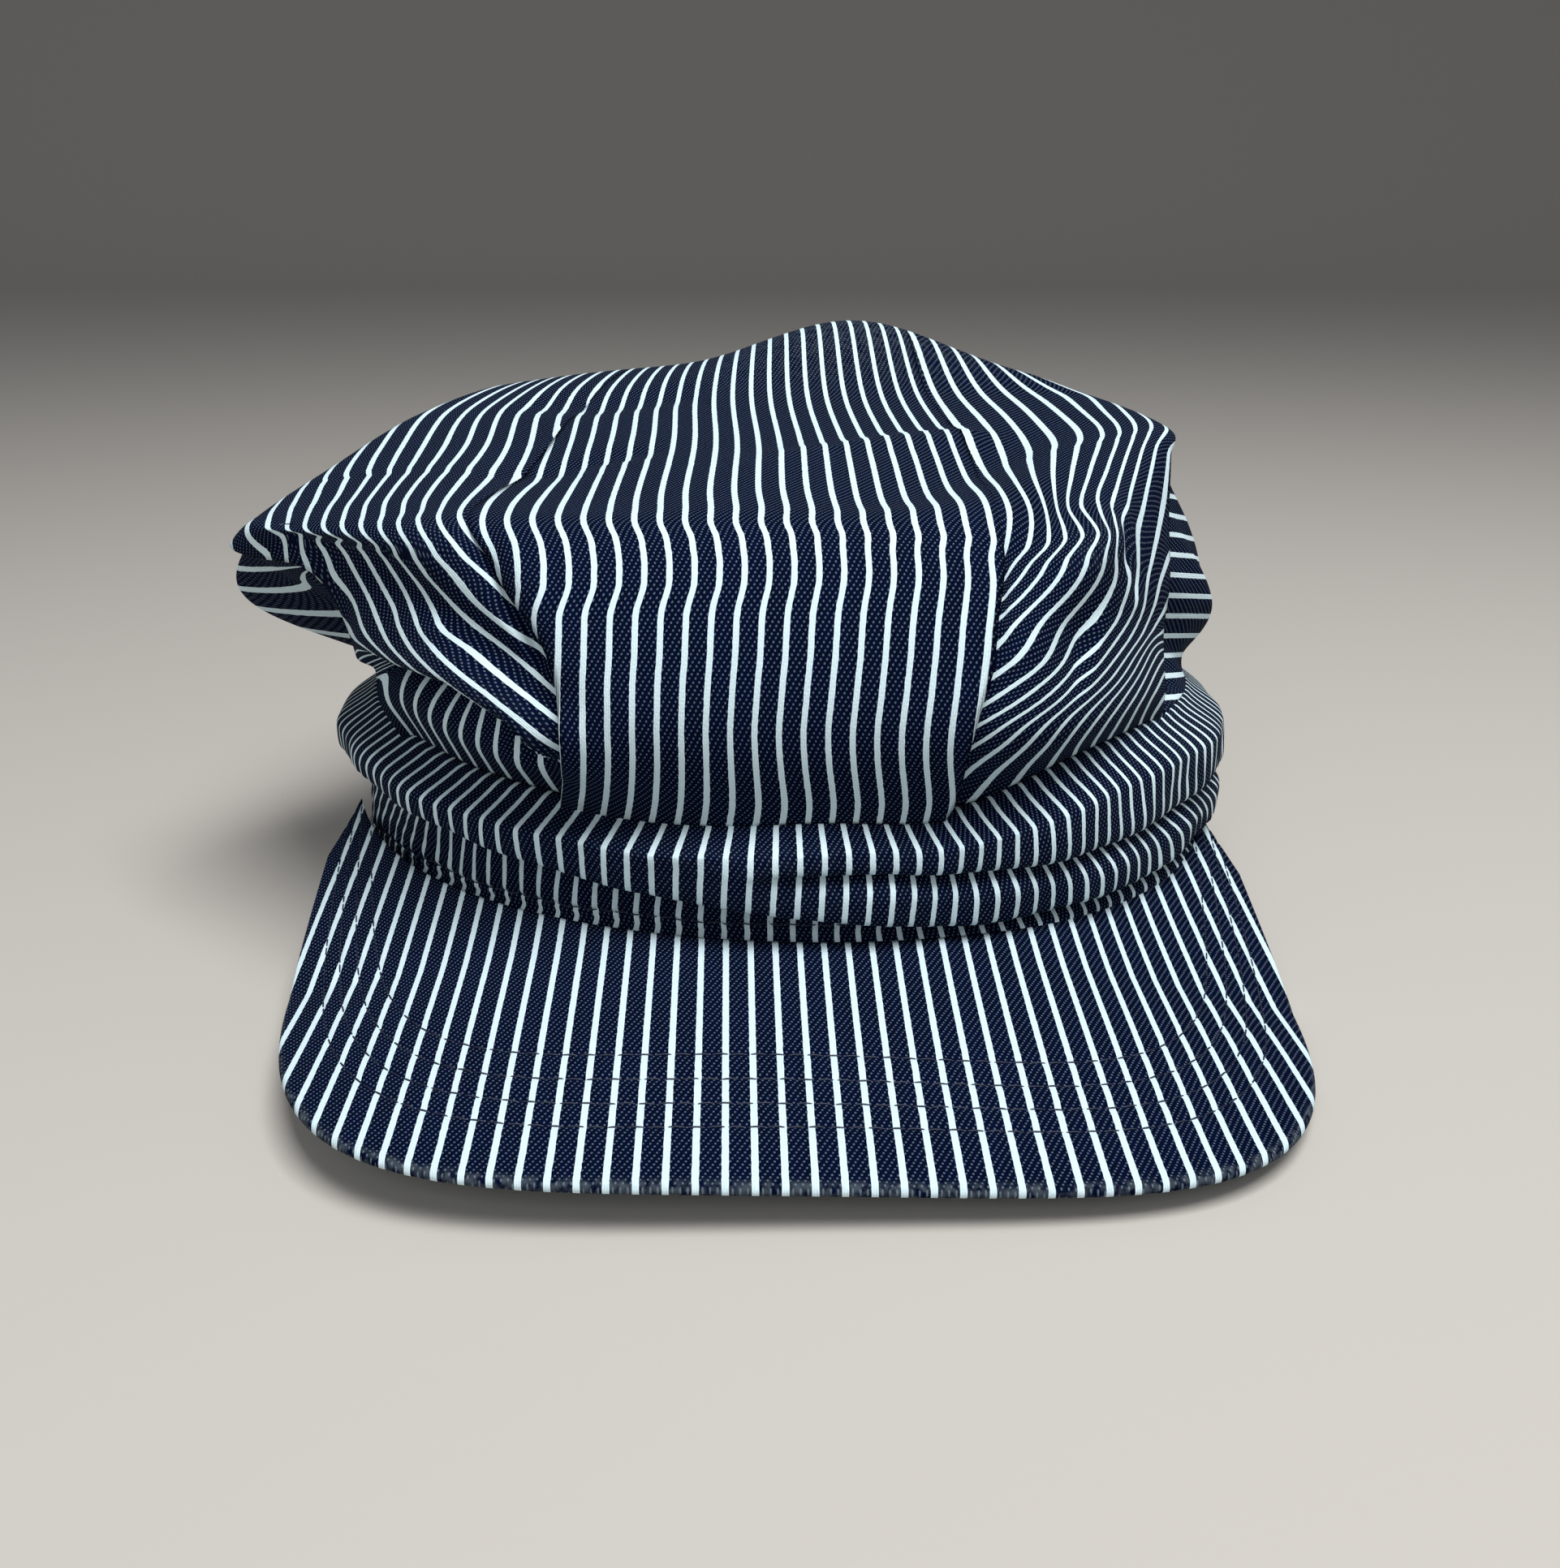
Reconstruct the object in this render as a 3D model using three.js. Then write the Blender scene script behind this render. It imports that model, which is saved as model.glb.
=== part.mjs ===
// Railroad engineer cap of hickory-stripe denim, resting by itself on a table.
// Millimetres, +Z up, the visor towards -Y, and +X to the right as seen from the front.
// The cap is worked out with the middle of the visor seam at y = 0 and the table at z = 0.
// At the end the whole group is moved so that the middle of its footprint is the origin.

import * as THREE from 'three';

// Driving dimensions.
const bandHalfWidth = 95.5;        // outside of the head band, middle to side
const bandHalfLength = 97;         // outside of the head band, middle to front or back
const cloth = 2;                   // double denim wall of crown and band
const seamGap = 0.4;               // clearance between pieces that are sewn together
const bandFrontTop = 43;           // height of the sewn line between crown and band, front
const bandBackTop = 41;            // the same line at the back
const rimFlatFrom = 0.72;          // share of the band's length where the rim reaches the table
const bandRecess = 6;              // how far the crown sits inside the band's outline
const crownRise = 60;              // from the sewn line up to the middle of the rear crest
const crownHalfWidth = 80;         // middle of the crown to its side seam, typical
const crownShift = -4.5;           // the slumped crown sits a little to one side
const panelHalfWidth = 36;         // half of the flat centre panel of the box pleat
const pleatDepth = 2.6;            // the centre panel stands proud by the folded cloth
const pleatEdgeShare = 0.05;       // width of the step at the pleat's edge, of the half panel
const sideDrop = 2.8;              // power by which the panel falls towards its side seams
const sideSweep = 1.7;             // power by which the panel sweeps back beside the pleat
const visorReach = 62.5;           // seam to front edge, on the middle line
const visorHalfWidth = 95.8;       // half width at the rear ends
const visorThickness = 4.4;
const visorArchRadius = 350;       // the visor is bent to part of a cylinder
const visorSlope = 9.0;            // degrees, falling to the front

// Fineness of the faceted surfaces.
const panelColumns = 42;
const panelRows = 28;
const gussetColumns = 24;
const gussetRows = 8;
const bandSteps = 72;
const bandLevels = 12;
const visorColumns = 36;
const visorRows = 6;

const radians = Math.PI / 180;

// Where the visor's seam ends round the band, in degrees from the front: where the visor's
// ends meet the band, and for a wide visor a little short of the band's widest place.
const visorEndPower = 17;
const visorShare = visorHalfWidth / bandHalfWidth;
const visorEndSine = visorShare / (1 + visorShare ** visorEndPower) ** (1 / visorEndPower);
const visorEndAngle = Math.asin(visorEndSine) / radians;

// Sections across the crown panel, from the front to the back of the cap. Between the rows
// the surface runs smoothly. Columns, as shares of the named sizes:
//   reach          how far back the middle is, of the band's length
//   rise           height of the middle above the sewn line, of crownRise
//   left, right    middle to side seam, of crownHalfWidth
//   backL, backR   how much further back the side seams are, of the band's length
//   dropL, dropR   how much lower the side seams are, of crownRise
//   flat           share of the half width that is flat before the sides sweep back
//   pleat          share of pleatDepth by which the centre panel stands proud
const crownSections = [
  { name: 'above the band', reach: 0.000, rise: 0.19, left: 0.93, right: 0.97,
    backL: 0.190, backR: 0.215, dropL: -0.05, dropR: 0.02, flat: 0.47, pleat: 1.0 },
  { name: 'front', reach: 0.004, rise: 0.42, left: 0.96, right: 0.96,
    backL: 0.185, backR: 0.220, dropL: 0.02, dropR: 0.06, flat: 0.45, pleat: 1.0 },
  { name: 'under the brow', reach: 0.042, rise: 0.67, left: 1.05, right: 0.98,
    backL: 0.180, backR: 0.205, dropL: 0.08, dropR: 0.15, flat: 0.45, pleat: 0.8 },
  { name: 'brow', reach: 0.085, rise: 0.77, left: 1.25, right: 1.00,
    backL: 0.190, backR: 0.215, dropL: 0.13, dropR: 0.07, flat: 0.45, pleat: 0.25 },
  { name: 'front of the top', reach: 0.165, rise: 0.81, left: 1.26, right: 1.03,
    backL: 0.165, backR: 0.190, dropL: 0.125, dropR: -0.05, flat: 0.30, pleat: 0 },
  { name: 'middle of the top', reach: 0.370, rise: 0.85, left: 1.18, right: 1.06,
    backL: 0.045, backR: 0.045, dropL: 0.09, dropR: -0.08, flat: 0.20, pleat: 0 },
  { name: 'rear of the top', reach: 0.620, rise: 0.92, left: 1.02, right: 0.99,
    backL: -0.035, backR: -0.015, dropL: 0.04, dropR: -0.03, flat: 0.20, pleat: 0 },
  { name: 'crest', reach: 0.780, rise: 1.00, left: 0.80, right: 0.90,
    backL: -0.090, backR: -0.080, dropL: 0.06, dropR: 0.06, flat: 0.15, pleat: 0 },
  { name: 'top of the back', reach: 0.905, rise: 0.90, left: 0.78, right: 0.86,
    backL: -0.125, backR: -0.125, dropL: 0.13, dropR: 0.10, flat: 0.15, pleat: 0 },
  { name: 'back', reach: 0.985, rise: 0.52, left: 0.76, right: 0.82,
    backL: -0.150, backR: -0.150, dropL: 0.06, dropR: 0.04, flat: 0.15, pleat: 0 },
];

const panelLength = 3.5 * bandHalfLength;   // front to back along the cloth, over the top
const calmEnds = 0.06;             // share of the length by which folds fade at the band
const calmSides = 0.12;            // share of the half width by which they fade at the side seams

// Where the panel's side seams meet the band, as angles round the band from its front middle.
const seamAngleFrontLeft = 58;
const seamAngleFrontRight = 55;
const seamAngleBackLeft = 142;
const seamAngleBackRight = 140;

// How a gusset starts behind the panel's edge and ends on the band.
const tuckStartShare = 0.4;        // how soon a wall that turns under the panel is set deeper
const tuckRoomShare = 1.4;         // how much deeper, as a share of the wall
const leastSlantShare = 0.6;       // keeps a wall that leaves at a slant near its seam
const tuckDipShare = 0.12;         // least downward share of the way behind the edge
const bulgePower = 1.2;            // power by which a bulge leaves the seam
const facingPlace = 0.08;          // where on the wall it is seen how far it turns under
const uprightShare = 0.4;          // the lowest share of the wall, which turns upright
const cornerInsetAngle = 2;        // the gussets stop this many degrees short of the corners

// Dents and ridges of the crown panel. A row is a soft mound: `across` runs from -1 at the
// left seam to 1 at the right seam, `along` from 0 at the front to 1 at the back, `turn` is
// the ridge's direction in degrees from straight back. height, length and width are shares
// of crownHalfWidth, and a negative height is a dent.
const crownFolds = [
  { name: 'rear bump', across: 0.30, along: 0.70, turn: 80, height: 0.150, length: 0.42, width: 0.20 },
  { name: 'dip behind brow', across: -0.15, along: 0.44, turn: 85, height: -0.025, length: 0.50, width: 0.22 },
  { name: 'right tuck', across: 0.72, along: 0.30, turn: 15, height: 0.040, length: 0.35, width: 0.07 },
  { name: 'hollow by the tuck', across: 0.60, along: 0.36, turn: 15, height: -0.035, length: 0.32, width: 0.08 },
  { name: 'left fold', across: -0.62, along: 0.20, turn: -30, height: -0.060, length: 0.32, width: 0.08 },
  { name: 'left low fold', across: -0.78, along: 0.09, turn: -60, height: -0.050, length: 0.30, width: 0.06 },
  { name: 'left top furrow', across: -0.45, along: 0.52, turn: -25, height: -0.030, length: 0.40, width: 0.12 },
  { name: 'right top furrow', across: 0.45, along: 0.50, turn: 40, height: -0.030, length: 0.38, width: 0.10 },
  { name: 'back slump', across: 0.00, along: 0.92, turn: 90, height: -0.060, length: 0.70, width: 0.12 },
];

// Side gussets, from the front corner to the back corner. `along` is the place on the side
// seam, `out` the bulge beyond a straight wall (negative where the cloth is pushed in), of
// crownHalfWidth, and `peak` the share of the way down where it is largest.
const leftGusset = [
  { along: 0.04, out: -0.03, peak: 0.5 },
  { along: 0.14, out: -0.12, peak: 0.5 },
  { along: 0.25, out: -0.15, peak: 0.45 },
  { along: 0.33, out: -0.04, peak: 0.5 },
  { along: 0.40, out: 0.16, peak: 0.55 },
  { along: 0.52, out: 0.13, peak: 0.5 },
  { along: 0.68, out: 0.07, peak: 0.5 },
  { along: 0.84, out: 0.07, peak: 0.5 },
  { along: 0.975, out: 0.01, peak: 0.5 },
];
const rightGusset = [
  { along: 0.04, out: -0.01, peak: 0.5 },
  { along: 0.14, out: -0.04, peak: 0.5 },
  { along: 0.25, out: -0.03, peak: 0.45 },
  { along: 0.33, out: 0.07, peak: 0.55 },
  { along: 0.42, out: 0.13, peak: 0.6 },
  { along: 0.54, out: 0.12, peak: 0.6 },
  { along: 0.68, out: 0.08, peak: 0.5 },
  { along: 0.84, out: 0.07, peak: 0.5 },
  { along: 0.975, out: 0.01, peak: 0.5 },
];

// Rolls of the slumped band. `level` is the height on the band from rim to sewn line, `out`
// is of bandRecess, `width` the half height of the roll as a share of the band's height,
// `angle` the middle of the roll round the band and `spread` how far it reaches, in degrees,
// and `climb` how much the level rises towards the roll's ends.
const bandRolls = [
  { name: 'upper roll', level: 0.76, out: 0.75, width: 0.17, angle: 0, spread: 120, climb: 0.03 },
  { name: 'crease under the roll', level: 0.53, out: -0.42, width: 0.09, angle: -6, spread: 85, climb: 0.02 },
  { name: 'second fold', level: 0.39, out: 0.45, width: 0.10, angle: 12, spread: 38, climb: 0.05 },
  { name: 'crease over the seam', level: 0.20, out: -0.20, width: 0.10, angle: 0, spread: 70, climb: 0.00 },
  { name: 'back slump', level: 0.55, out: 0.30, width: 0.22, angle: 180, spread: 90, climb: 0.00 },
];

// Outline of the visor: a squared-off oval that narrows towards the front.
const visorSquareness = 3.9;
const visorTaper = 0.08;
const visorEdgeRound = 0.35;       // share of the thickness taken off the edge at top and bottom

function smooth(x) {
  const s = Math.min(Math.max(x, 0), 1);
  return s * s * (3 - 2 * s);
}

// Cubic through four equally spaced values, used between table rows.
function cubic(a, b, c, d, s) {
  const slopeB = (c - a) / 2;
  const slopeC = (d - b) / 2;
  return b + s * (slopeB + s * (3 * (c - b) - 2 * slopeB - slopeC + s * (2 * (b - c) + slopeB + slopeC)));
}

// A column of a table at a place given in another column, with straight lines between rows.
function lookUp(table, placeKey, key, place) {
  if (place <= table[0][placeKey]) return table[0][key];
  for (let i = 1; i < table.length; i++) {
    const before = table[i - 1];
    const after = table[i];
    if (place <= after[placeKey]) {
      const s = smooth((place - before[placeKey]) / (after[placeKey] - before[placeKey]));
      return before[key] + (after[key] - before[key]) * s;
    }
  }
  return table[table.length - 1][key];
}

// Unit vector pointing out of the band at an angle round it, 0 at the front, + to the right.
function outward(angle) {
  return new THREE.Vector3(Math.sin(angle * radians), -Math.cos(angle * radians), 0);
}

// Height of the sewn line between crown and band: it rises a little over each cheek.
const cheekAngle = 48;
const cheekSpread = 26;
const cheekLiftLeft = 0.13;
const cheekLiftRight = 0.06;
function sewnLine(angle) {
  const back = (1 - Math.cos(angle * radians)) / 2;
  const cheek = Math.exp(-(((Math.abs(angle) - cheekAngle) / cheekSpread) ** 2));
  const lift = angle < 0 ? cheekLiftLeft : cheekLiftRight;
  return bandFrontTop + (bandBackTop - bandFrontTop) * back + lift * bandFrontTop * cheek;
}

// Height of the band's bottom rim: lifted at the front, flat on the table behind.
function rimHeight(angle) {
  const back = (1 - Math.cos(angle * radians)) / 2;
  return (visorSeamHeight - visorThickness) * (1 - smooth(back / rimFlatFrom));
}

// A point round the band, `inset` inside its outline, at height z.
function roundBand(angle, inset, z) {
  const out = outward(angle);
  return new THREE.Vector3(
    out.x * (bandHalfWidth - inset),
    bandHalfLength + out.y * (bandHalfLength - inset),
    z,
  );
}

// The line on which the crown's lower edge sits, above the band's top rim.
function crownEdge(angle) {
  return roundBand(angle, bandRecess, sewnLine(angle) + seamGap);
}

// One section of the crown panel: side is -1 to 1 from left seam to right seam.
function sectionPoint(row, side) {
  const left = side < 0;
  const t = Math.abs(side);
  const half = crownHalfWidth * (left ? row.left : row.right);
  const sweep = Math.max(t - row.flat, 0) / (1 - row.flat);
  const length = 2 * bandHalfLength;
  return new THREE.Vector3(
    crownShift + Math.sign(side) * half * t,
    length * (row.reach + (left ? row.backL : row.backR) * sweep ** sideSweep),
    bandFrontTop + crownRise * (row.rise - (left ? row.dropL : row.dropR) * t ** sideDrop),
  );
}

function frontEdgePoint(side) {
  return crownEdge(side * (side < 0 ? seamAngleFrontLeft : seamAngleFrontRight));
}

function backEdgePoint(side) {
  const seam = side < 0 ? seamAngleBackLeft : seamAngleBackRight;
  return crownEdge(Math.sign(side || 1) * (180 - Math.abs(side) * (180 - seam)));
}

function sectionAt(index, side) {
  if (index <= 0) return frontEdgePoint(side);
  if (index > crownSections.length) return backEdgePoint(side);
  return sectionPoint(crownSections[index - 1], side);
}

// The crown panel without its dents: `along` 0 at the front edge, 1 at the back edge.
function crownBase(side, along) {
  const spans = crownSections.length + 1;
  const place = Math.min(along * spans, spans - 1e-9);
  const index = Math.floor(place);
  const s = place - index;
  const b = sectionAt(index, side);
  const c = sectionAt(index + 1, side);
  const a = index > 0 ? sectionAt(index - 1, side) : b.clone().multiplyScalar(2).sub(c);
  const d = index + 2 <= spans ? sectionAt(index + 2, side) : c.clone().multiplyScalar(2).sub(b);
  return new THREE.Vector3(
    cubic(a.x, b.x, c.x, d.x, s),
    cubic(a.y, b.y, c.y, d.y, s),
    cubic(a.z, b.z, c.z, d.z, s),
  );
}

// Outward unit normal of a surface given as a function of two parameters.
const normalStep = 0.012;
function normalOf(surface, u, v, flip) {
  const du = surface(Math.min(u + normalStep, 1), v).sub(surface(Math.max(u - normalStep, -1), v));
  const dv = surface(u, Math.min(v + normalStep, 1)).sub(surface(u, Math.max(v - normalStep, 0)));
  return du.cross(dv).normalize().multiplyScalar(flip);
}

// Height of all dents and ridges at a place on the crown panel.
function foldHeight(side, along) {
  let height = 0;
  for (const fold of crownFolds) {
    const x = (side - fold.across) * crownHalfWidth;
    const y = (along - fold.along) * panelLength;
    const c = Math.cos(fold.turn * radians);
    const s = Math.sin(fold.turn * radians);
    const down = (x * s + y * c) / (fold.length * crownHalfWidth);
    const over = (x * c - y * s) / (fold.width * crownHalfWidth);
    height += fold.height * crownHalfWidth * Math.exp(-down * down - over * over);
  }
  const ends = smooth(along / calmEnds) * smooth((1 - along) / calmEnds);
  return height * ends * smooth((1 - Math.abs(side)) / calmSides);
}

// How far the centre panel of the pleat stands proud.
function pleatHeight(side, along) {
  const place = along * (crownSections.length + 1) - 1;
  const low = Math.min(Math.max(Math.floor(place), 0), crownSections.length - 1);
  const high = Math.min(low + 1, crownSections.length - 1);
  const s = Math.min(Math.max(place - low, 0), 1);
  const share = crownSections[low].pleat * (1 - s) + crownSections[high].pleat * s;
  const width = panelHalfWidth / (crownHalfWidth * crownSections[0].right);
  return pleatDepth * share * (1 - smooth((Math.abs(side) - width) / pleatEdgeShare));
}

// Closed wall between two grids of points. The grids are arrays of rows, and `ring` joins
// the last column to the first. Faces point out on the outer grid.
function wallGeometry(outer, inner, ring = false) {
  const rows = outer.length;
  const columns = outer[0].length;
  const points = [...outer.flat(), ...inner.flat()];
  const faces = [];
  const at = (layer, r, c) => layer * rows * columns + r * columns + (c % columns);
  const quad = (a, b, c, d) => faces.push(a, b, c, a, c, d);
  const lastColumn = ring ? columns : columns - 1;
  for (let r = 0; r < rows - 1; r++) {
    for (let c = 0; c < lastColumn; c++) {
      quad(at(0, r, c), at(0, r, c + 1), at(0, r + 1, c + 1), at(0, r + 1, c));
      quad(at(1, r, c), at(1, r + 1, c), at(1, r + 1, c + 1), at(1, r, c + 1));
    }
  }
  for (let c = 0; c < lastColumn; c++) {
    quad(at(0, 0, c), at(1, 0, c), at(1, 0, c + 1), at(0, 0, c + 1));
    quad(at(0, rows - 1, c), at(0, rows - 1, c + 1), at(1, rows - 1, c + 1), at(1, rows - 1, c));
  }
  if (!ring) {
    for (let r = 0; r < rows - 1; r++) {
      quad(at(0, r, 0), at(0, r + 1, 0), at(1, r + 1, 0), at(1, r, 0));
      const last = columns - 1;
      quad(at(0, r, last), at(1, r, last), at(1, r + 1, last), at(0, r + 1, last));
    }
  }
  const geometry = new THREE.BufferGeometry();
  const places = points.flatMap((p) => [p.x, p.y, p.z]);
  geometry.setAttribute('position', new THREE.Float32BufferAttribute(places, 3));
  geometry.setIndex(faces);
  geometry.computeVertexNormals();
  return geometry;
}

function denim(colour, roughness) {
  return new THREE.MeshStandardMaterial({ color: colour, roughness, metalness: 0 });
}

function piece(name, geometry, material) {
  const mesh = new THREE.Mesh(geometry, material);
  mesh.name = name;
  return mesh;
}

// Crown panel: one long cloth from the band in front over the top to the band behind.
function crownPanel() {
  const outer = [];
  const inner = [];
  for (let r = 0; r <= panelRows; r++) {
    const along = r / panelRows;
    const outerRow = [];
    const innerRow = [];
    for (let c = 0; c <= panelColumns; c++) {
      const side = (2 * c) / panelColumns - 1;
      const base = crownBase(side, along);
      let normal = normalOf(crownBase, side, along, 1);
      if (r === 0 || r === panelRows) {
        normal = base.clone().sub(new THREE.Vector3(0, bandHalfLength, base.z)).normalize();
      }
      const fold = foldHeight(side, along);
      outerRow.push(base.clone().addScaledVector(normal, fold + pleatHeight(side, along)));
      innerRow.push(base.clone().addScaledVector(normal, fold - cloth));
    }
    outer.push(outerRow);
    inner.push(innerRow);
  }
  return wallGeometry(outer, inner);
}

// Side gusset: from the underside of the panel's edge down to the band. hand is -1 left, 1 right.
function gusset(hand, table, seamAngleFront, seamAngleBack) {
  const first = table[0].along;
  const last = table[table.length - 1].along;
  // `tuck` is the depth below the panel's outside at which the wall starts.
  const surface = (across, along, tuck) => {
    // Behind the panel's edge and always a little below it: the ear leans over the hollow.
    const behind = normalOf(crownBase, hand, along, -1);
    const way = new THREE.Vector3(behind.x, behind.y, Math.min(behind.z, -tuckDipShare)).normalize();
    const slant = Math.max(way.dot(behind), leastSlantShare);
    const start = crownBase(hand, along).addScaledVector(way, tuck / slant);
    const share = (along - first) / (last - first);
    const sweep = seamAngleBack - seamAngleFront - 2 * cornerInsetAngle;
    const angle = hand * (seamAngleFront + cornerInsetAngle + sweep * share);
    const end = crownEdge(angle);
    const out = lookUp(table, 'along', 'out', along) * crownHalfWidth;
    const peak = lookUp(table, 'along', 'peak', along);
    const bend = across < peak ? across / peak : (1 - across) / (1 - peak);
    const push = out * (out > 0 ? Math.sin((bend * Math.PI) / 2) ** bulgePower : smooth(bend));
    return start.lerp(end, across).addScaledVector(outward(angle), push);
  };
  const wallNormal = (across, along, tuck) => {
    const below = surface(Math.min(across + normalStep, 1), along, tuck);
    const above = surface(Math.max(across - normalStep, 0), along, tuck);
    const behind = surface(across, Math.min(along + normalStep, last), tuck);
    const before = surface(across, Math.max(along - normalStep, first), tuck);
    return below.sub(above).cross(behind.sub(before)).normalize().multiplyScalar(hand);
  };
  const outer = [];
  const inner = [];
  for (let r = 0; r <= gussetRows; r++) {
    const across = r / gussetRows;
    const outerRow = [];
    const innerRow = [];
    for (let c = 0; c <= gussetColumns; c++) {
      const along = first + ((last - first) * (hand < 0 ? gussetColumns - c : c)) / gussetColumns;
      // Where the wall folds back under the panel, its own thickness needs room too.
      const plain = cloth + seamGap;
      const facing = wallNormal(facingPlace, along, plain).dot(normalOf(crownBase, hand, along, 1));
      const tuck = plain + cloth * tuckRoomShare * Math.min(Math.max(tuckStartShare - facing, 0), 1);
      const point = surface(across, along, tuck);
      // Towards the band the wall turns upright, to stand square on its top edge.
      const normal = wallNormal(across, along, tuck);
      normal.z *= smooth((1 - across) / uprightShare);
      normal.normalize();
      outerRow.push(point);
      innerRow.push(point.clone().addScaledVector(normal, -cloth));
    }
    outer.push(outerRow);
    inner.push(innerRow);
  }
  outer.reverse();
  inner.reverse();
  return wallGeometry(outer, inner);
}

// How far the band's outside stands out of its plain outline: rolls and creases, and the
// recess towards the sewn line, all as shares of the band's height.
const recessStart = 0.80;
const rimPlain = 0.12;
function bandBulge(angle, level) {
  let out = -bandRecess * smooth((level - recessStart) / (1 - recessStart));
  for (const roll of bandRolls) {
    let turn = Math.abs(angle - roll.angle);
    turn = Math.min(turn, 360 - turn) / roll.spread;
    if (turn >= 1) continue;
    const middle = roll.level + roll.climb * turn;
    out += roll.out * bandRecess * Math.exp(-(((level - middle) / roll.width) ** 2)) * (1 - smooth(turn));
  }
  return out * smooth(level / rimPlain);
}

// Head band: a closed ring whose wall follows the rolls outside and lies plain inside.
function band() {
  const outer = [];
  const inner = [];
  for (let r = 0; r <= bandLevels; r++) {
    const level = r / bandLevels;
    const outerRow = [];
    const innerRow = [];
    for (let c = 0; c < bandSteps; c++) {
      const angle = (360 * c) / bandSteps - 180;
      const rim = rimHeight(angle);
      const z = rim + (sewnLine(angle) - rim) * level;
      const bulge = bandBulge(angle, level);
      outerRow.push(roundBand(angle, -bulge, z));
      innerRow.push(roundBand(angle, cloth - Math.min(bulge, 0), z));
    }
    outer.push(outerRow);
    inner.push(innerRow);
  }
  return wallGeometry(outer, inner, true);
}

// Height of the visor's top over a point of its plan, from the middle of its seam.
function visorTop(x, y) {
  const arch = visorArchRadius - Math.sqrt(visorArchRadius ** 2 - x ** 2);
  return y * Math.tan(visorSlope * radians) - arch;
}

// Point of the visor's outline: turn runs from -90 at the left end to 90 at the right end.
function visorOutline(turn) {
  const sine = Math.sin(turn * radians);
  const cosine = Math.cos(turn * radians);
  const endReach = bandHalfLength - bandHalfLength * Math.cos(visorEndAngle * radians);
  const forward = (visorReach + endReach) * Math.abs(cosine) ** (2 / visorSquareness);
  const narrowing = 1 - (visorTaper * forward) / (visorReach + endReach);
  const x = Math.sign(sine) * visorHalfWidth * narrowing * Math.abs(sine) ** (2 / visorSquareness);
  return new THREE.Vector2(x, endReach - forward);
}

// Turns that space points of the outline evenly along its length.
const outlineEndTurn = 89.2;
function evenTurns(count) {
  const samples = 720;
  const limit = outlineEndTurn;
  const lengths = [0];
  let before = visorOutline(-limit);
  for (let i = 1; i <= samples; i++) {
    const point = visorOutline(-limit + (2 * limit * i) / samples);
    lengths.push(lengths[i - 1] + point.distanceTo(before));
    before = point;
  }
  const turns = [];
  for (let c = 0; c <= count; c++) {
    const wanted = (lengths[samples] * c) / count;
    const i = Math.min(Math.max(lengths.findIndex((l) => l >= wanted - 1e-9), 1), samples);
    const s = (wanted - lengths[i - 1]) / (lengths[i] - lengths[i - 1]);
    turns.push(-limit + (2 * limit * (i - 1 + s)) / samples);
  }
  return turns;
}

// Top and bottom of the visor as grids, with the middle of the seam at height 0: an arched
// board covered in cloth, with a rounded turned edge.
function visorGrids() {
  const turns = evenTurns(visorColumns);
  const outer = [];
  const inner = [];
  for (let r = 0; r <= visorRows; r++) {
    const reach = r / visorRows;
    const topRow = [];
    const bottomRow = [];
    turns.forEach((turn, c) => {
      const angle = visorEndAngle * ((2 * c) / visorColumns - 1);
      const seam = roundBand(angle, -seamGap, 0);
      const edge = visorOutline(turn);
      const x = seam.x + (edge.x - seam.x) * reach;
      const y = seam.y + (edge.y - seam.y) * reach;
      const rounding = r === visorRows ? visorEdgeRound * visorThickness : 0;
      topRow.push(new THREE.Vector3(x, y, visorTop(x, y) - rounding));
      bottomRow.push(new THREE.Vector3(x, y, visorTop(x, y) - visorThickness + rounding));
    });
    outer.push(topRow);
    inner.push(bottomRow);
  }
  outer.reverse();
  inner.reverse();
  return { outer, inner };
}

function visor() {
  const { outer, inner } = visorGrids();
  return wallGeometry(outer, inner).translate(0, 0, visorSeamHeight);
}

// The cap rests on the visor's front corners, so they set how high the seam is.
const visorSeamHeight = -Math.min(...visorGrids().inner.flat().map((point) => point.z));

const cap = new THREE.Group();
cap.name = 'railroad_engineer_cap';
const gussetLeft = gusset(-1, leftGusset, seamAngleFrontLeft, seamAngleBackLeft);
const gussetRight = gusset(1, rightGusset, seamAngleFrontRight, seamAngleBackRight);
cap.add(
  piece('crown_panel', crownPanel(), denim('#2b3f58', 0.9)),
  piece('gusset_left', gussetLeft, denim('#26384f', 0.9)),
  piece('gusset_right', gussetRight, denim('#26384f', 0.9)),
  piece('band', band(), denim('#2e435d', 0.9)),
  piece('visor', visor(), denim('#334b68', 0.85)),
);

// The origin is on the table under the middle of the cap.
const footprint = new THREE.Box3().setFromObject(cap);
cap.position.set(
  -(footprint.min.x + footprint.max.x) / 2,
  -(footprint.min.y + footprint.max.y) / 2,
  -footprint.min.z,
);
cap.updateMatrixWorld(true);

export default cap;
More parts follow.
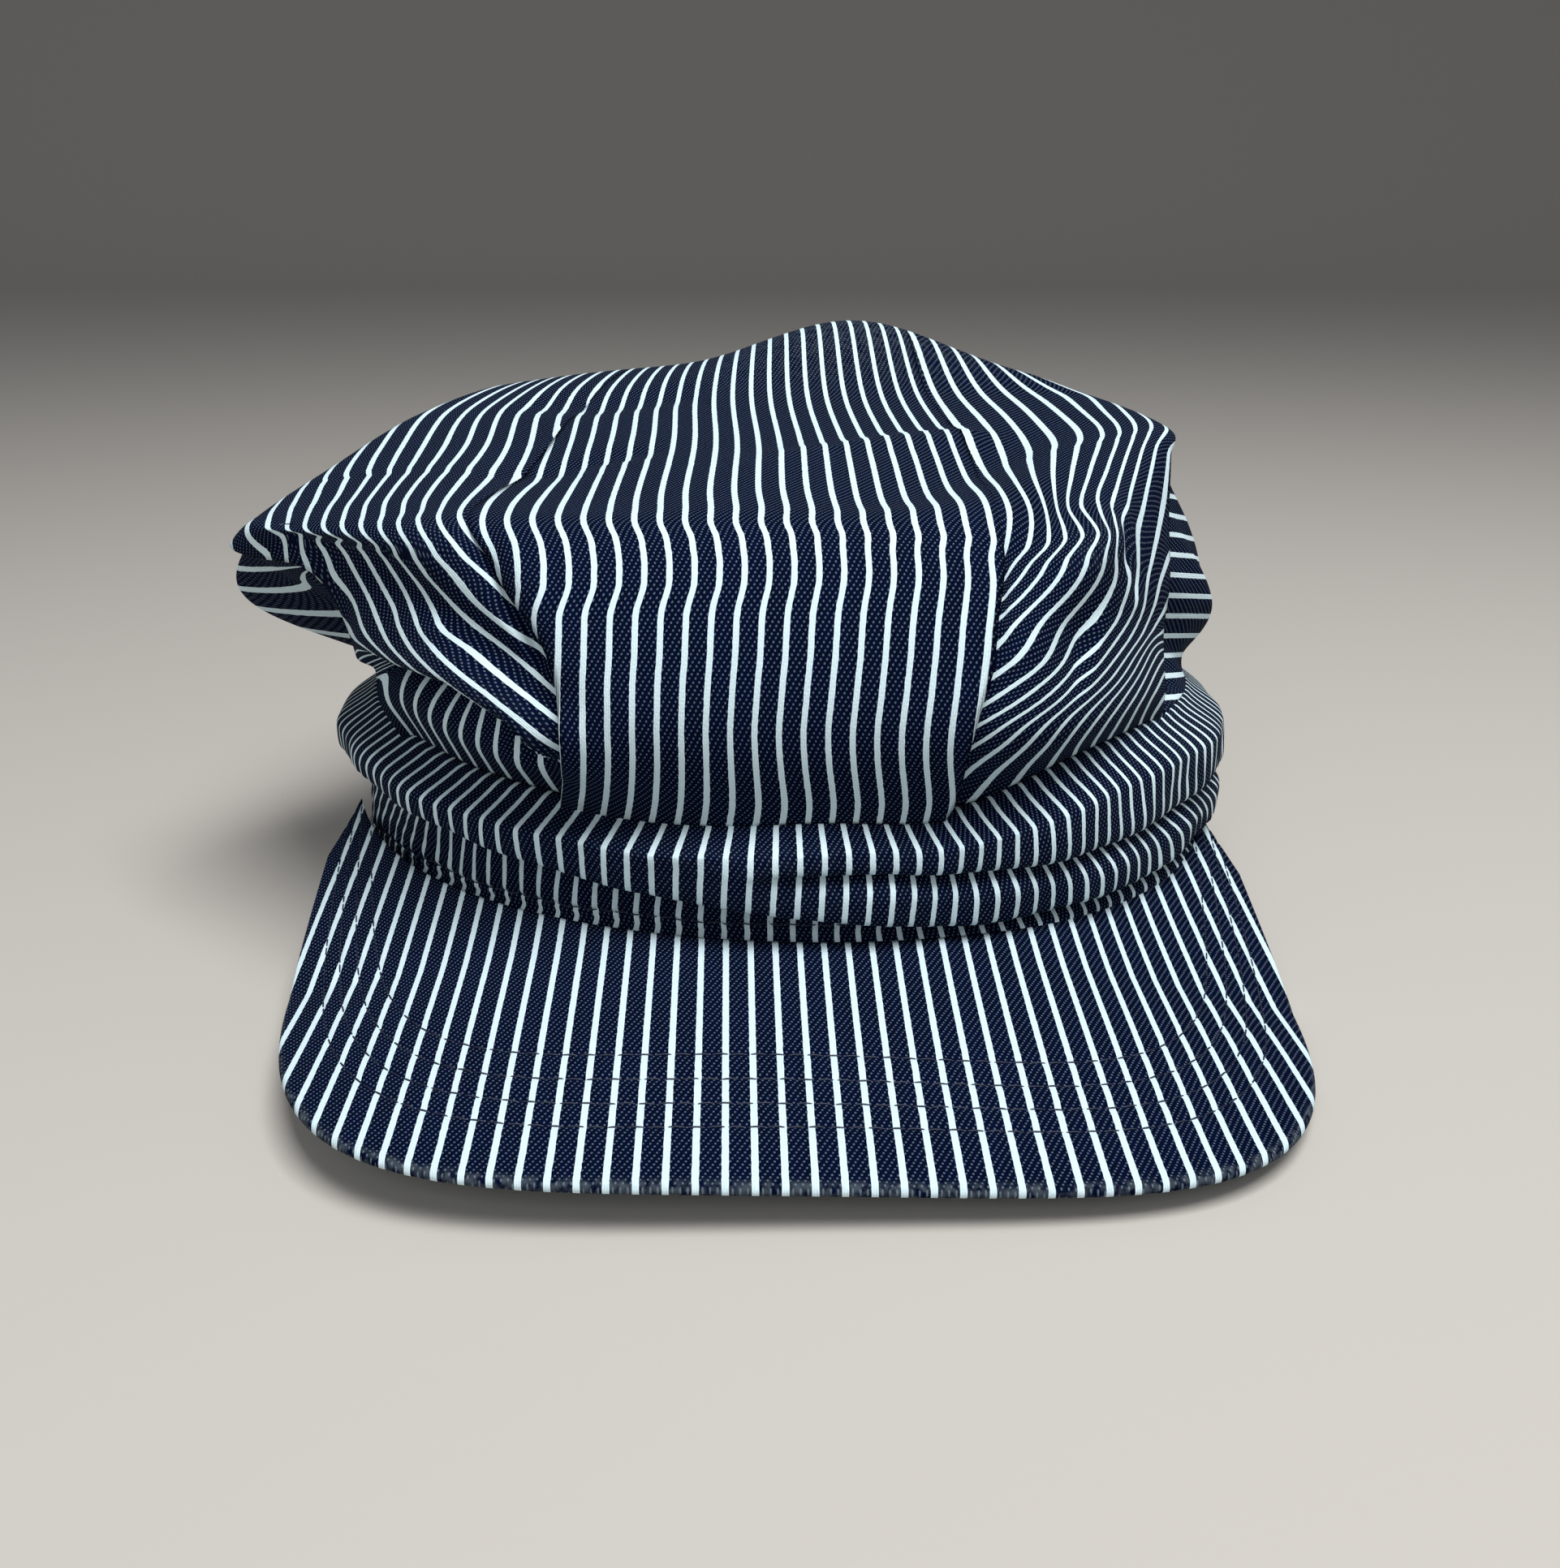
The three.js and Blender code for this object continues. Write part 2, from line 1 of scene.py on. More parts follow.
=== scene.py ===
from functools import partial
import bpy
import numpy as np
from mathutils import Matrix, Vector


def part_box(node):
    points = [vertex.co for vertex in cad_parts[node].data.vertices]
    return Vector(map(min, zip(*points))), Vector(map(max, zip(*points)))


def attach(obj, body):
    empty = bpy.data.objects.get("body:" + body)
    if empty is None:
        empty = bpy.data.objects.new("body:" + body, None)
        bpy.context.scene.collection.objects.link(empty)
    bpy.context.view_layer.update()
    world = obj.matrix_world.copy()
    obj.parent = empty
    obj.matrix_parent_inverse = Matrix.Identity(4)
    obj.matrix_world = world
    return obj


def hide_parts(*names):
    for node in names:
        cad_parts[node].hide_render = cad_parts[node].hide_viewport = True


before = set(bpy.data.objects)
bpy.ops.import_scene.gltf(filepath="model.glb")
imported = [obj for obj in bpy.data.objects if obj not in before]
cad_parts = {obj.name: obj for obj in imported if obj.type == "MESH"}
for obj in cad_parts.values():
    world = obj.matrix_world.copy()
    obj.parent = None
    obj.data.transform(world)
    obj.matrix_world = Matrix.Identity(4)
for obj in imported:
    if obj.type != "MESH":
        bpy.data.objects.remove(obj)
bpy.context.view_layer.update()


# The visor: a stiff board bent to an arch, covered in hickory-stripe denim that is drawn
# tight over its rounded edge. The stripes run straight to the front.

# The cap's own zero is in the middle of the visor's seam on the head band, in millimetres.
# The solid visor ends solid_reach in front of it.
solid_reach = 62.5
visor_low, visor_high = (np.array(corner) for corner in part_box("visor"))
cap_zero = np.array([(visor_low[0] + visor_high[0]) / 2, visor_low[1] + solid_reach / 1000, 0.0])
# Sizes in millimetres. The arch is a circle's radius and the squareness a power.
visor_reach = 58.7
visor_half = 95.3
visor_squareness = 4.94
visor_thickness = 4.4
visor_arch = 330.0
visor_slope = np.tan(np.radians(9.8))
seam_height = 17.9
turned_edge = 2.0
stripe = 4.2
head_half_width = 95.5
head_half_depth = 97.0


def to_frame(points):
    """Points of the cap, in millimetres from its own zero, as metres in the part's frame."""
    return points.reshape(-1, 3) / 1000 + cap_zero


def placed(name, data):
    """A new object of this mesh, light or camera, in the scene."""
    item = bpy.data.objects.new(name, data)
    bpy.context.scene.collection.objects.link(item)
    return item


def sheet_mesh(name, points, quads, corners, wear):
    """A smooth mesh of quads. corners holds each quad corner's place in the cloth, in
    millimetres across and along the stripes, and wear each point's share of fading."""
    mesh = bpy.data.meshes.new(name)
    mesh.from_pydata(to_frame(points).tolist(), [], quads.tolist())
    cloth = mesh.uv_layers.new(name="cloth")
    cloth.data.foreach_set("uv", corners.astype(np.float32).ravel())
    faded = mesh.attributes.new("wear", "FLOAT", "POINT")
    faded.data.foreach_set("value", wear.astype(np.float32).ravel())
    mesh.polygons.foreach_set("use_smooth", np.ones(len(quads), bool))
    mesh.update()
    return placed(name, mesh)


def grid_quads(index, uv, turned=False):
    """The quads between neighbouring places of a grid of point numbers, with their corners
    in the cloth. Seen from outside, rows run up and columns to the right unless turned."""
    order = [(0, 0), (0, 1), (1, 1), (1, 0)]
    if turned:
        order = order[::-1]
    rows, columns = index.shape[0] - 1, index.shape[1] - 1
    take = [(slice(r, r + rows), slice(c, c + columns)) for r, c in order]
    quads = np.stack([index[at] for at in take], -1).reshape(-1, 4)
    corners = np.stack([uv[at] for at in take], -2).reshape(-1, 4, 2)
    return quads, corners


def ease(x):
    """Smooth step from 0 to 1: three x squared less two x cubed."""
    x = np.clip(x, 0, 1)
    return x * x * (3 - 2 * x)


def glide(x, table, column):
    """Smooth curve through a column of a table over its first column, which never overshoots
    it: cubics whose slopes are the weighted harmonic means of their neighbours."""
    xs, ys = table[:, 0], table[:, column]
    step, slope = np.diff(xs), np.diff(ys) / np.diff(xs)
    bend = np.zeros_like(ys)
    same = slope[:-1] * slope[1:] > 0
    before, after = 2 * step[1:] + step[:-1], step[1:] + 2 * step[:-1]
    with np.errstate(divide="ignore", invalid="ignore"):
        bend[1:-1] = np.where(same, (before + after) / (before / slope[:-1] + after / slope[1:]), 0)
    bend[0], bend[-1] = slope[0], slope[-1]
    x = np.clip(x, xs[0], xs[-1])
    i = np.clip(np.searchsorted(xs, x, side="right") - 1, 0, len(step) - 1)
    t = (x - xs[i]) / step[i]
    return ((1 + 2 * t) * (1 - t) ** 2 * ys[i] + t * (1 - t) ** 2 * step[i] * bend[i]
            + t * t * (3 - 2 * t) * ys[i + 1] + t * t * (t - 1) * step[i] * bend[i + 1])


# Colours of the two yarns, as linear red, green and blue.
navy, undyed = (0.0006, 0.0028, 0.0165), (0.66, 0.82, 0.88)


def denim(name, edge_fade):
    """Hickory-stripe twill. Every warp end is a column of the cloth a twelfth of the stripes'
    pitch wide, and three in twelve are undyed. The undyed weft shows as a dot once in three
    picks of 0.62 mm on each end, one pick higher on each next end, so the dots run up in
    diagonals. edge_fade is the share of fading where the cloth is most rubbed."""
    material = bpy.data.materials.new(name)
    material.use_nodes = True
    nodes, links = material.node_tree.nodes, material.node_tree.links
    nodes.clear()

    def toned(colour, *shares):
        """The colour as a socket takes it, each channel times its share."""
        return tuple(c * share for c, share in zip(colour, shares * (3 // len(shares)))) + (1,)

    def put(socket, value):
        """Links an output to the socket, or sets the socket to a number or colour."""
        if isinstance(value, bpy.types.NodeSocket):
            links.new(value, socket)
        else:
            socket.default_value = value

    def calc(operation, *values):
        """The sum, product or other operation of one to three values."""
        node = nodes.new("ShaderNodeMath")
        node.operation = operation
        for socket, value in zip(node.inputs, values):
            put(socket, value)
        return node.outputs[0]

    plus, minus, times = (partial(calc, name) for name in ("ADD", "SUBTRACT", "MULTIPLY"))

    def ramp(value, low, high, start=0.0, end=1.0):
        """A smooth step from start to end while the value goes from low to high."""
        node = nodes.new("ShaderNodeMapRange")
        node.interpolation_type = "SMOOTHSTEP"
        for socket, given in zip(node.inputs, (value, low, high, start, end)):
            put(socket, given)
        return node.outputs[0]

    def noise(vector, scale, detail=2.0):
        """Soft spots between 0 and 1, as many in a unit as the scale says."""
        node = nodes.new("ShaderNodeTexNoise")
        put(node.inputs["Vector"], vector)
        node.inputs["Scale"].default_value = scale
        node.inputs["Detail"].default_value = detail
        return node.outputs["Fac"]

    def blend(share, first, second):
        """The first colour, with a share of the second mixed in."""
        node = nodes.new("ShaderNodeMix")
        node.data_type = "RGBA"
        put(node.inputs["Factor"], share)
        put(node.inputs["A"], first)
        put(node.inputs["B"], second)
        return node.outputs["Result"]

    uv = nodes.new("ShaderNodeUVMap")
    uv.uv_map = "cloth"
    split = nodes.new("ShaderNodeSeparateXYZ")
    links.new(uv.outputs["UV"], split.inputs[0])
    solid = nodes.new("ShaderNodeTexCoord").outputs["Object"]

    # Threads wander a little from their straight lines.
    wander = times(minus(noise(uv.outputs["UV"], 0.9), 0.5), 0.22)
    across = plus(split.outputs["X"], wander)
    lift = times(minus(noise(solid, 420.0), 0.5), 0.3)
    along = plus(split.outputs["Y"], lift)

    ends = plus(calc("DIVIDE", across, stripe / 12), 0.5)
    end = calc("FLOOR", ends)
    beside = minus(minus(ends, end), 0.5)
    in_repeat = calc("FLOORED_MODULO", plus(end, 1.0), 12.0)
    white = calc("LESS_THAN", in_repeat, 2.5)
    picks = calc("DIVIDE", minus(calc("DIVIDE", along, 0.62), end), 3.0)
    over = minus(minus(picks, calc("FLOOR", picks)), 0.5)
    beside_share = calc("POWER", calc("DIVIDE", beside, 0.50), 2.0)
    over_share = calc("POWER", calc("DIVIDE", over, 0.105), 2.0)
    dot_reach = calc("SQRT", plus(beside_share, over_share))
    dot = ramp(dot_reach, 1.25, 0.55)

    # Navy ends differ from one another and from place to place, undyed ones hardly.
    patch = noise(solid, 55.0, 3.0)
    thread = nodes.new("ShaderNodeTexWhiteNoise")
    thread.noise_dimensions = "1D"
    put(thread.inputs["W"], end)
    fuzz = noise(uv.outputs["UV"], 3.1, 1.0)
    tone = plus(times(patch, 0.5), times(thread.outputs["Value"], 0.35))
    tone = plus(tone, times(fuzz, 0.4))
    dark = blend(times(tone, 0.8), toned(navy, 0.45), toned(navy, 1.8))
    dots = blend(times(dot, 0.25), dark, toned(undyed, 0.5, 0.56, 0.64))
    # Painted shade between threads: each undyed end is darker towards its edges and where the picks cross
    # it, standing in for the shade that falls in the gaps between threads.
    end_edge_shade = ramp(calc("ABSOLUTE", beside), 0.5, 0.15, 0.78, 1.0)
    cross = ramp(calc("ABSOLUTE", over), 0.42, 0.5, 1.0, 0.86)
    pale = blend(times(end_edge_shade, cross), toned(undyed, 0.55), toned(undyed, 1.0))
    cloth = blend(white, dots, pale)

    # Rubbed places, such as turned edges and the tops of folds, show more of the weft.
    wear = nodes.new("ShaderNodeAttribute")
    wear.attribute_name = "wear"
    rubbed = times(wear.outputs["Fac"], ramp(noise(solid, 700.0, 3.0), 0.35, 0.65))
    faded = tuple(0.45 * a + 0.25 * b for a, b in zip(undyed, navy)) + (1,)
    cloth = blend(times(rubbed, edge_fade), cloth, faded)

    round_end = minus(1.0, times(calc("POWER", beside, 2.0), 3.0))
    height = plus(round_end, times(white, 0.35))
    height = minus(height, times(dot, 0.45))
    height = plus(height, times(noise(solid, 2600.0, 1.0), 0.5))
    bump = nodes.new("ShaderNodeBump")
    bump.inputs["Strength"].default_value = 0.55
    bump.inputs["Distance"].default_value = 0.00012
    put(bump.inputs["Height"], height)

    shader = nodes.new("ShaderNodeBsdfPrincipled")
    put(shader.inputs["Base Color"], cloth)
    put(shader.inputs["Roughness"], ramp(tone, 0.2, 1.0, 0.82, 0.95))
    put(shader.inputs["Normal"], bump.outputs["Normal"])
    shader.inputs["Specular IOR Level"].default_value = 0.03
    out = nodes.new("ShaderNodeOutputMaterial")
    links.new(shader.outputs[0], out.inputs["Surface"])
    return material


def round_band(angle, inset, z):
    """The point at an angle round the head band, in degrees from the front and positive to
    the right: the band's oval, made smaller all round by the inset, at height z."""
    turn = np.radians(angle)
    x = np.sin(turn) * (head_half_width - inset)
    y = head_half_depth - np.cos(turn) * (head_half_depth - inset)
    return np.stack([x, y, z + 0 * x], -1)


def visor_top(x, y):
    """Height over a plan: falls evenly to the front and leans a little to the right. To the
    sides it falls as a circle's arc does, but the arch dies away towards the front edge."""
    bend = visor_arch - np.sqrt(visor_arch ** 2 - np.minimum(np.abs(x), 200.0) ** 2)
    flatter = 1 - 0.98 * np.clip(-y / 60, 0, 1)
    return seam_height + y * visor_slope - bend * flatter - 0.033 * x


def visor_outline(turn):
    """The visor's outer edge: an oval with squared corners, 9% narrower in front than at its
    ends. turn runs from -90 degrees at the left end to 90 at the right end."""
    sine, cosine = np.sin(np.radians(turn)), np.cos(np.radians(turn))
    forward = (visor_reach + visor_back) * np.abs(cosine) ** (2 / visor_squareness)
    narrow = 1 - 0.09 * forward / (visor_reach + visor_back)
    x = np.sign(sine) * visor_half * narrow * np.abs(sine) ** (2 / visor_squareness)
    return x, visor_back - forward


visor_seam_end = 73.6
visor_back = head_half_depth - head_half_depth * np.cos(np.radians(visor_seam_end))
fine_turn = np.linspace(-89.2, 89.2, 4001)
fine_x, fine_y = visor_outline(fine_turn)
edge_run = np.concatenate([[0], np.cumsum(np.hypot(np.diff(fine_x), np.diff(fine_y)))])


def visor_place(share, reach):
    """Plan of the visor: share runs from the left end to the right end, reach from the seam
    at 0 to the outer edge at 1, along straight lines between the two. Also their length."""
    edge_x, edge_y = visor_outline(np.interp(share * edge_run[-1], edge_run, fine_turn))
    seam = round_band(visor_seam_end * (2 * share - 1), 0.4, 0.0)
    way_x, way_y = edge_x - seam[..., 0], edge_y - seam[..., 1]
    return seam[..., 0] + way_x * reach, seam[..., 1] + way_y * reach, np.hypot(way_x, way_y)


# The rows of stitching that quilt the cover to the board, in mm in from the edge.
quilting = np.array([12.6, 17.8, 23.4, 29.3])


def visor_surface(share, reach, upper):
    """Top and bottom of the visor, and how far in from the edge each point lies. The turned
    edge is a half circle 2 mm thick, the board behind it thickens downwards by an ease, and
    each row of quilting draws a groove, a bell of 0.25 mm. Sines make it swell and pucker."""
    x, y, run = visor_place(share, reach)
    inward = run * (1 - reach)
    curl = 1 - np.sqrt(1 - (1 - np.clip(inward / 1.1, 0, 1)) ** 2)
    groove = 0.25 * np.exp(-((inward[..., None] - quilting) / 0.8) ** 2).sum(-1)
    pucker = 0.06 * np.sin(0.9 * x + 2.0 * np.sin(0.4 * y)) * np.exp(-((inward - 21) / 12) ** 2)
    swell = 0.25 * np.sin(x / 17 + 0.8) * np.sin(y / 13) * ease(inward / 8) * ease(reach / 0.2)
    over = visor_top(x, y) + swell
    under = over - turned_edge - (visor_thickness - turned_edge) * ease(inward / 14)
    return np.stack([x, y, np.where(upper, over - curl - groove + pucker, under + curl)], -1), inward


# Columns: place across the visor in mm, and the white stripe there, counted from the middle.
visor_stripes = np.array([
    [-96, -23.4], [-82, -20.0], [-66, -15.95], [-50.3, -12.0], [-33.8, -8.0],
    [-16.9, -4.0], [0.3, 0.0], [17.3, 4.0], [34.3, 8.0], [51.4, 12.0],
    [68.1, 16.0], [86.0, 20.0], [98.0, 22.5],
])


def visor_piece():
    """The cover as one closed skin: the top from the seam to the edge, round it, and the
    bottom back to the seam."""
    columns = np.linspace(0, 1, 341)
    round_edge = 0.93 + 0.07 * np.sin(np.linspace(0, np.pi / 2, 15)[1:])
    reach = np.concatenate([np.linspace(0, 0.93, 88), round_edge])
    reach = np.concatenate([reach, reach[-2::-1]])
    upper = (np.arange(len(reach)) < (len(reach) + 1) // 2)[:, None]
    share, reach = np.meshgrid(columns, reach)
    points, inward = visor_surface(share, reach, upper)
    edge_y = visor_outline(np.interp(share * edge_run[-1], edge_run, fine_turn))[1]
    along = np.where(upper, points[..., 1], 2 * edge_y - points[..., 1])
    uv = np.stack([stripe * glide(points[..., 0], visor_stripes, 1), along], -1)
    index = np.arange(along.size).reshape(along.shape)
    parts = [grid_quads(index, uv, turned=True)]
    seam = np.stack([index[0], index[-1]])
    parts.append(grid_quads(seam, np.stack([uv[0], uv[0] + [0, visor_thickness]])))
    half = len(index) // 2
    for column, turned in ((0, False), (-1, True)):
        side = np.stack([index[:half + 1, column], index[half:, column][::-1]], 1)
        place = np.stack([uv[:half + 1, column], uv[half:, column][::-1]], 1)
        parts.append(grid_quads(side, place, turned))
    quads = np.concatenate([part[0] for part in parts])
    corners = np.concatenate([part[1] for part in parts])
    wear = 0.35 * np.exp(-((inward - 0.3) / 0.8) ** 2)
    return sheet_mesh("visor_cover", points, quads, corners, wear)


visor_cover = visor_piece()
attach(visor_cover, "root")
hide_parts("visor")
visor_cover.data.materials.append(denim("visor_denim_cloth", 0.5))


# The sewing thread: dark blue, in even stitches of about 3 mm that dive under at their
# holes. Four rows quilt the visor's cover, each as far in from the edge all the way round.
def thread_paint():
    """Twisted dark thread with a faint shine and fine streaks along it."""
    material = bpy.data.materials.new("sewing_thread")
    material.use_nodes = True
    nodes, links = material.node_tree.nodes, material.node_tree.links
    shader = nodes["Principled BSDF"]
    streaks = nodes.new("ShaderNodeTexNoise")
    streaks.inputs["Scale"].default_value = 1800.0
    links.new(nodes.new("ShaderNodeTexCoord").outputs["Object"], streaks.inputs["Vector"])
    tint = nodes.new("ShaderNodeMix")
    tint.data_type = "RGBA"
    tint.inputs["A"].default_value = (0.004, 0.007, 0.020, 1)
    tint.inputs["B"].default_value = (0.012, 0.020, 0.055, 1)
    links.new(streaks.outputs["Fac"], tint.inputs["Factor"])
    links.new(tint.outputs["Result"], shader.inputs["Base Color"])
    shader.inputs["Roughness"].default_value = 0.55
    return material


stitch_length = 3.0
thread_radius = 0.15


def stitched(line, lift):
    """A sewn line's centre points: every 0.5 mm along the line, raised over each stitch by
    the root of a sine's size and sunk at its holes. lift is the way out of the cloth."""
    run = np.concatenate([[0], np.cumsum(np.linalg.norm(np.diff(line, axis=0), axis=1))])
    even = np.arange(0, run[-1], 0.5)
    places = np.stack([np.interp(even, run, line[:, axis]) for axis in range(3)], -1)
    ways = np.stack([np.interp(even, run, lift[:, axis]) for axis in range(3)], -1)
    arc = np.sqrt(np.abs(np.sin(np.pi * even / stitch_length)))
    return places + ways * (0.34 * arc - 0.22)[:, None]


def thread_mesh(name, lines):
    """Round threads with five sides along the lines, as one mesh with closed ends."""
    points, faces, count = [], [], 0
    for line in lines:
        way = np.gradient(line, axis=0)
        way /= np.linalg.norm(way, axis=1, keepdims=True)
        beside = np.cross(way, [0.0, 0.0, 1.0])
        beside /= np.linalg.norm(beside, axis=1, keepdims=True)
        over = np.cross(beside, way)
        turn = np.linspace(0, 2 * np.pi, 5, endpoint=False)
        ring = beside[:, None] * np.cos(turn)[:, None] + over[:, None] * np.sin(turn)[:, None]
        index = count + np.arange(len(line) * 5).reshape(-1, 5)
        after = np.roll(index, -1, axis=1)
        faces += np.stack([index[:-1], index[1:], after[1:], after[:-1]], -1).reshape(-1, 4).tolist()
        faces += [index[0].tolist(), index[-1, ::-1].tolist()]
        points.append((line[:, None] + ring * thread_radius).reshape(-1, 3))
        count += index.size
    mesh = bpy.data.meshes.new(name)
    mesh.from_pydata(to_frame(np.concatenate(points)).tolist(), [], faces)
    mesh.polygons.foreach_set("use_smooth", np.ones(len(faces), bool))
    mesh.materials.append(thread)
    piece = placed(name, mesh)
    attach(piece, "root")
    return piece


thread = thread_paint()
share = np.linspace(0.004, 0.996, 1600)
quilt_lines = []
for row_in in quilting:
    whole = visor_place(share, 0 * share)[2]
    reach = 1 - row_in / whole
    shown = reach > 0.03
    line, _ = visor_surface(share[shown], reach[shown], True)
    quilt_lines.append(stitched(line, np.tile([0.0, 0.0, 1.0], (len(line), 1))))
quilt_thread = thread_mesh("visor_quilting", quilt_lines)


# The head band: one turn of the same denim round the head, slumped into a fat roll that
# overhangs a crease. Right of the middle the roll splits in two folds. The stripes stand
# upright, and the lower edge is topstitched along the visor's seam.
band_top = 43.0


def sewn_line(angle):
    """Height of the seam between crown and band: it falls by 2 mm to the back, as a cosine
    does, and a bell lifts it a little over each cheek."""
    back = (1 - np.cos(np.radians(angle))) / 2
    cheek = np.exp(-((np.abs(angle) - 48) / 26) ** 2) * np.where(angle < 0, 0.02, 0.06)
    return band_top - 2.0 * back + band_top * cheek


def front_sag(angle):
    """How far the front panel's weight draws that seam down: three bells over the angle."""
    left = 2.0 * np.exp(-((angle + 42) / 16) ** 2)
    return left + 3.9 * np.exp(-((angle + 14) / 21) ** 2) + 4.4 * np.exp(-((angle - 18) / 13) ** 2)


def rim_height(angle):
    """Height of the band's lower edge: at the visor's seam in front, and on the table from
    about three quarters of the way back."""
    back = (1 - np.cos(np.radians(angle))) / 2
    return 12.9 * (1 - ease(back / 0.72))


# Folds of the front by the angle round the band. Columns: angle, level of the big roll's
# lower edge, level of the crease that splits it, and how deep this crease is.
front_folds = np.array([
    [-130, 0.60, 0.75, 0.0],
    [-85, 0.66, 0.75, 0.0],
    [-60, 0.73, 0.76, 0.0],
    [-45, 0.70, 0.75, 0.0],
    [-30, 0.60, 0.70, 0.0],
    [-15, 0.51, 0.66, 0.0],
    [-6, 0.455, 0.60, 0.2],
    [0, 0.40, 0.655, 2.6],
    [8, 0.33, 0.64, 3.6],
    [15, 0.26, 0.585, 3.8],
    [22, 0.22, 0.55, 3.8],
    [32, 0.21, 0.52, 3.8],
    [45, 0.21, 0.53, 3.6],
    [60, 0.24, 0.56, 3.2],
    [85, 0.30, 0.60, 2.2],
    [130, 0.34, 0.64, 0.6],
])
# Rolls of the back. Columns: level, how far out in mm, half height, middle angle, spread,
# climb to the ends.
back_rolls = np.array([
    [0.58, 2.6, 0.200, 180, 95, 0.00],
    [0.40, -1.8, 0.060, 160, 60, 0.06],
    [0.68, 1.2, 0.080, 150, 50, -0.04],
    [0.30, 1.6, 0.080, -150, 60, 0.05],
    [0.76, -1.4, 0.050, -160, 50, 0.03],
])


topstitch_level = 0.235


def band_shape(angle, level):
    """How far the band stands out and how far it droops, in mm. In front an oval roll rises
    from its overhanging lower edge to the top, and a bell cuts the crease that splits it;
    behind, bells over the level take its place. Small sines make the cloth uneven, and a
    narrow bell sinks the topstitching."""
    low, split, depth = (glide(angle, front_folds, j) for j in (1, 2, 3))
    rise = np.clip((level - low) / (1 - low), 0, 1)
    bow = np.sqrt(np.clip(1 - np.abs(2 * rise ** 0.85 - 1) ** 2.6, 0, 1))
    roll = -2.8 * (1 - ease(rise / 0.1)) + (2.6 + 2.2 * np.exp(-((angle + 10) / 45) ** 2)) * bow
    flare = ease((0.20 - level) / 0.12)
    out = roll + 2.8 * flare - 6.2 * ease((level - 0.82) / 0.18)
    narrow = np.where(level > split, 0.045, 0.10)
    crease = np.exp(-((level - split) / narrow) ** 2)
    out = out - depth * crease
    droop = 2.5 * np.exp(-((level - low - 0.05) / 0.06) ** 2) * (1 - 0.3 * np.abs(angle) / 90)
    droop = droop + 0.5 * depth * np.exp(-((level - split - 0.05) / 0.05) ** 2)
    front = 1 - ease((np.abs(angle) - 75) / 55)
    behind = -6.2 * ease((level - 0.80) / 0.20)
    for at, height, width, middle, spread, climb in back_rolls:
        turn = np.abs(angle - middle)
        turn = np.minimum(turn, 360 - turn) / spread
        behind = behind + height * np.exp(-((level - at - climb * turn) / width) ** 2) * (1 - ease(turn))
    wave = 0.45 * np.sin(angle * 0.17 + 4 * level) + 0.3 * np.sin(angle * 0.41 - 7 * level + 1)
    fine = 0.14 * np.sin(angle * 1.37 + 9 * np.sin(angle * 0.11)) * np.sin(level * 14 + angle * 0.2)
    settle = ease(level / 0.08)
    topstitch = np.exp(-((level - topstitch_level) / 0.014) ** 2) * (1 - ease((np.abs(angle) - 72) / 4))
    pucker = 0.28 * np.sin(angle * 2.3) * np.exp(-((level - 0.25) / 0.06) ** 2)
    calm = ease((1 - level) / 0.15) * ease((level - 0.05) / 0.2)
    out = (out * front + behind * (1 - front)) * settle + (wave + fine) * calm - 0.55 * topstitch + pucker
    return out, droop * front * settle * ease((1 - level) / 0.2)


def along_stripes(points, stripe_mm):
    """Distance along the stripes at every place of a cloth grid. Its steps should match the
    way that lies square to the stripes in the surface; conjugate gradients find the field
    that comes closest to this in the sense of least squares."""
    across_step, up_step = np.gradient(points, axis=1), np.gradient(points, axis=0)
    d_across, d_up = np.gradient(stripe_mm, axis=1), np.gradient(stripe_mm, axis=0)
    e, f, g = (across_step ** 2).sum(-1), (across_step * up_step).sum(-1), (up_step ** 2).sum(-1)
    area = np.maximum(e * g - f * f, 1e-6)
    share_across, share_up = (g * d_across - f * d_up) / area, (e * d_up - f * d_across) / area
    slope = share_across[..., None] * across_step + share_up[..., None] * up_step
    normal = np.cross(across_step, up_step) / np.sqrt(area)[..., None]
    way = np.cross(normal, slope)
    way /= np.maximum(np.linalg.norm(way, axis=-1, keepdims=True), 0.3)
    right = np.diff(points, axis=1)
    above = np.diff(points, axis=0)
    want_right = (right * (way[:, 1:] + way[:, :-1]) / 2).sum(-1)
    want_up = (above * (way[1:] + way[:-1]) / 2).sum(-1)
    weigh_right = 1 / (0.3 + np.linalg.norm(right, axis=-1))
    weigh_up = 1 / (0.3 + np.linalg.norm(above, axis=-1))

    def gather(rights, ups):
        """Each place's sum of the steps that end at it, less those that start there."""
        total = np.zeros(points.shape[:2])
        total[:, 1:] += rights
        total[:, :-1] -= rights
        total[1:] += ups
        total[:-1] -= ups
        return total

    def apply(v):
        """The normal equations' left side; a trace of v itself keeps it from drifting."""
        return gather(weigh_right * np.diff(v, axis=1), weigh_up * np.diff(v, axis=0)) + 1e-7 * v

    run_up = np.concatenate([[0], np.cumsum(np.linalg.norm(above, axis=-1).mean(1))])
    v = np.broadcast_to(run_up[:, None], points.shape[:2]).copy()
    rest = gather(weigh_right * want_right, weigh_up * want_up) - apply(v)
    search, size = rest.copy(), (rest ** 2).sum()
    for _ in range(900):
        moved = apply(search)
        step = size / (search * moved).sum()
        v += step * search
        rest -= step * moved
        new_size = (rest ** 2).sum()
        search = rest + (new_size / size) * search
        size = new_size
    return v


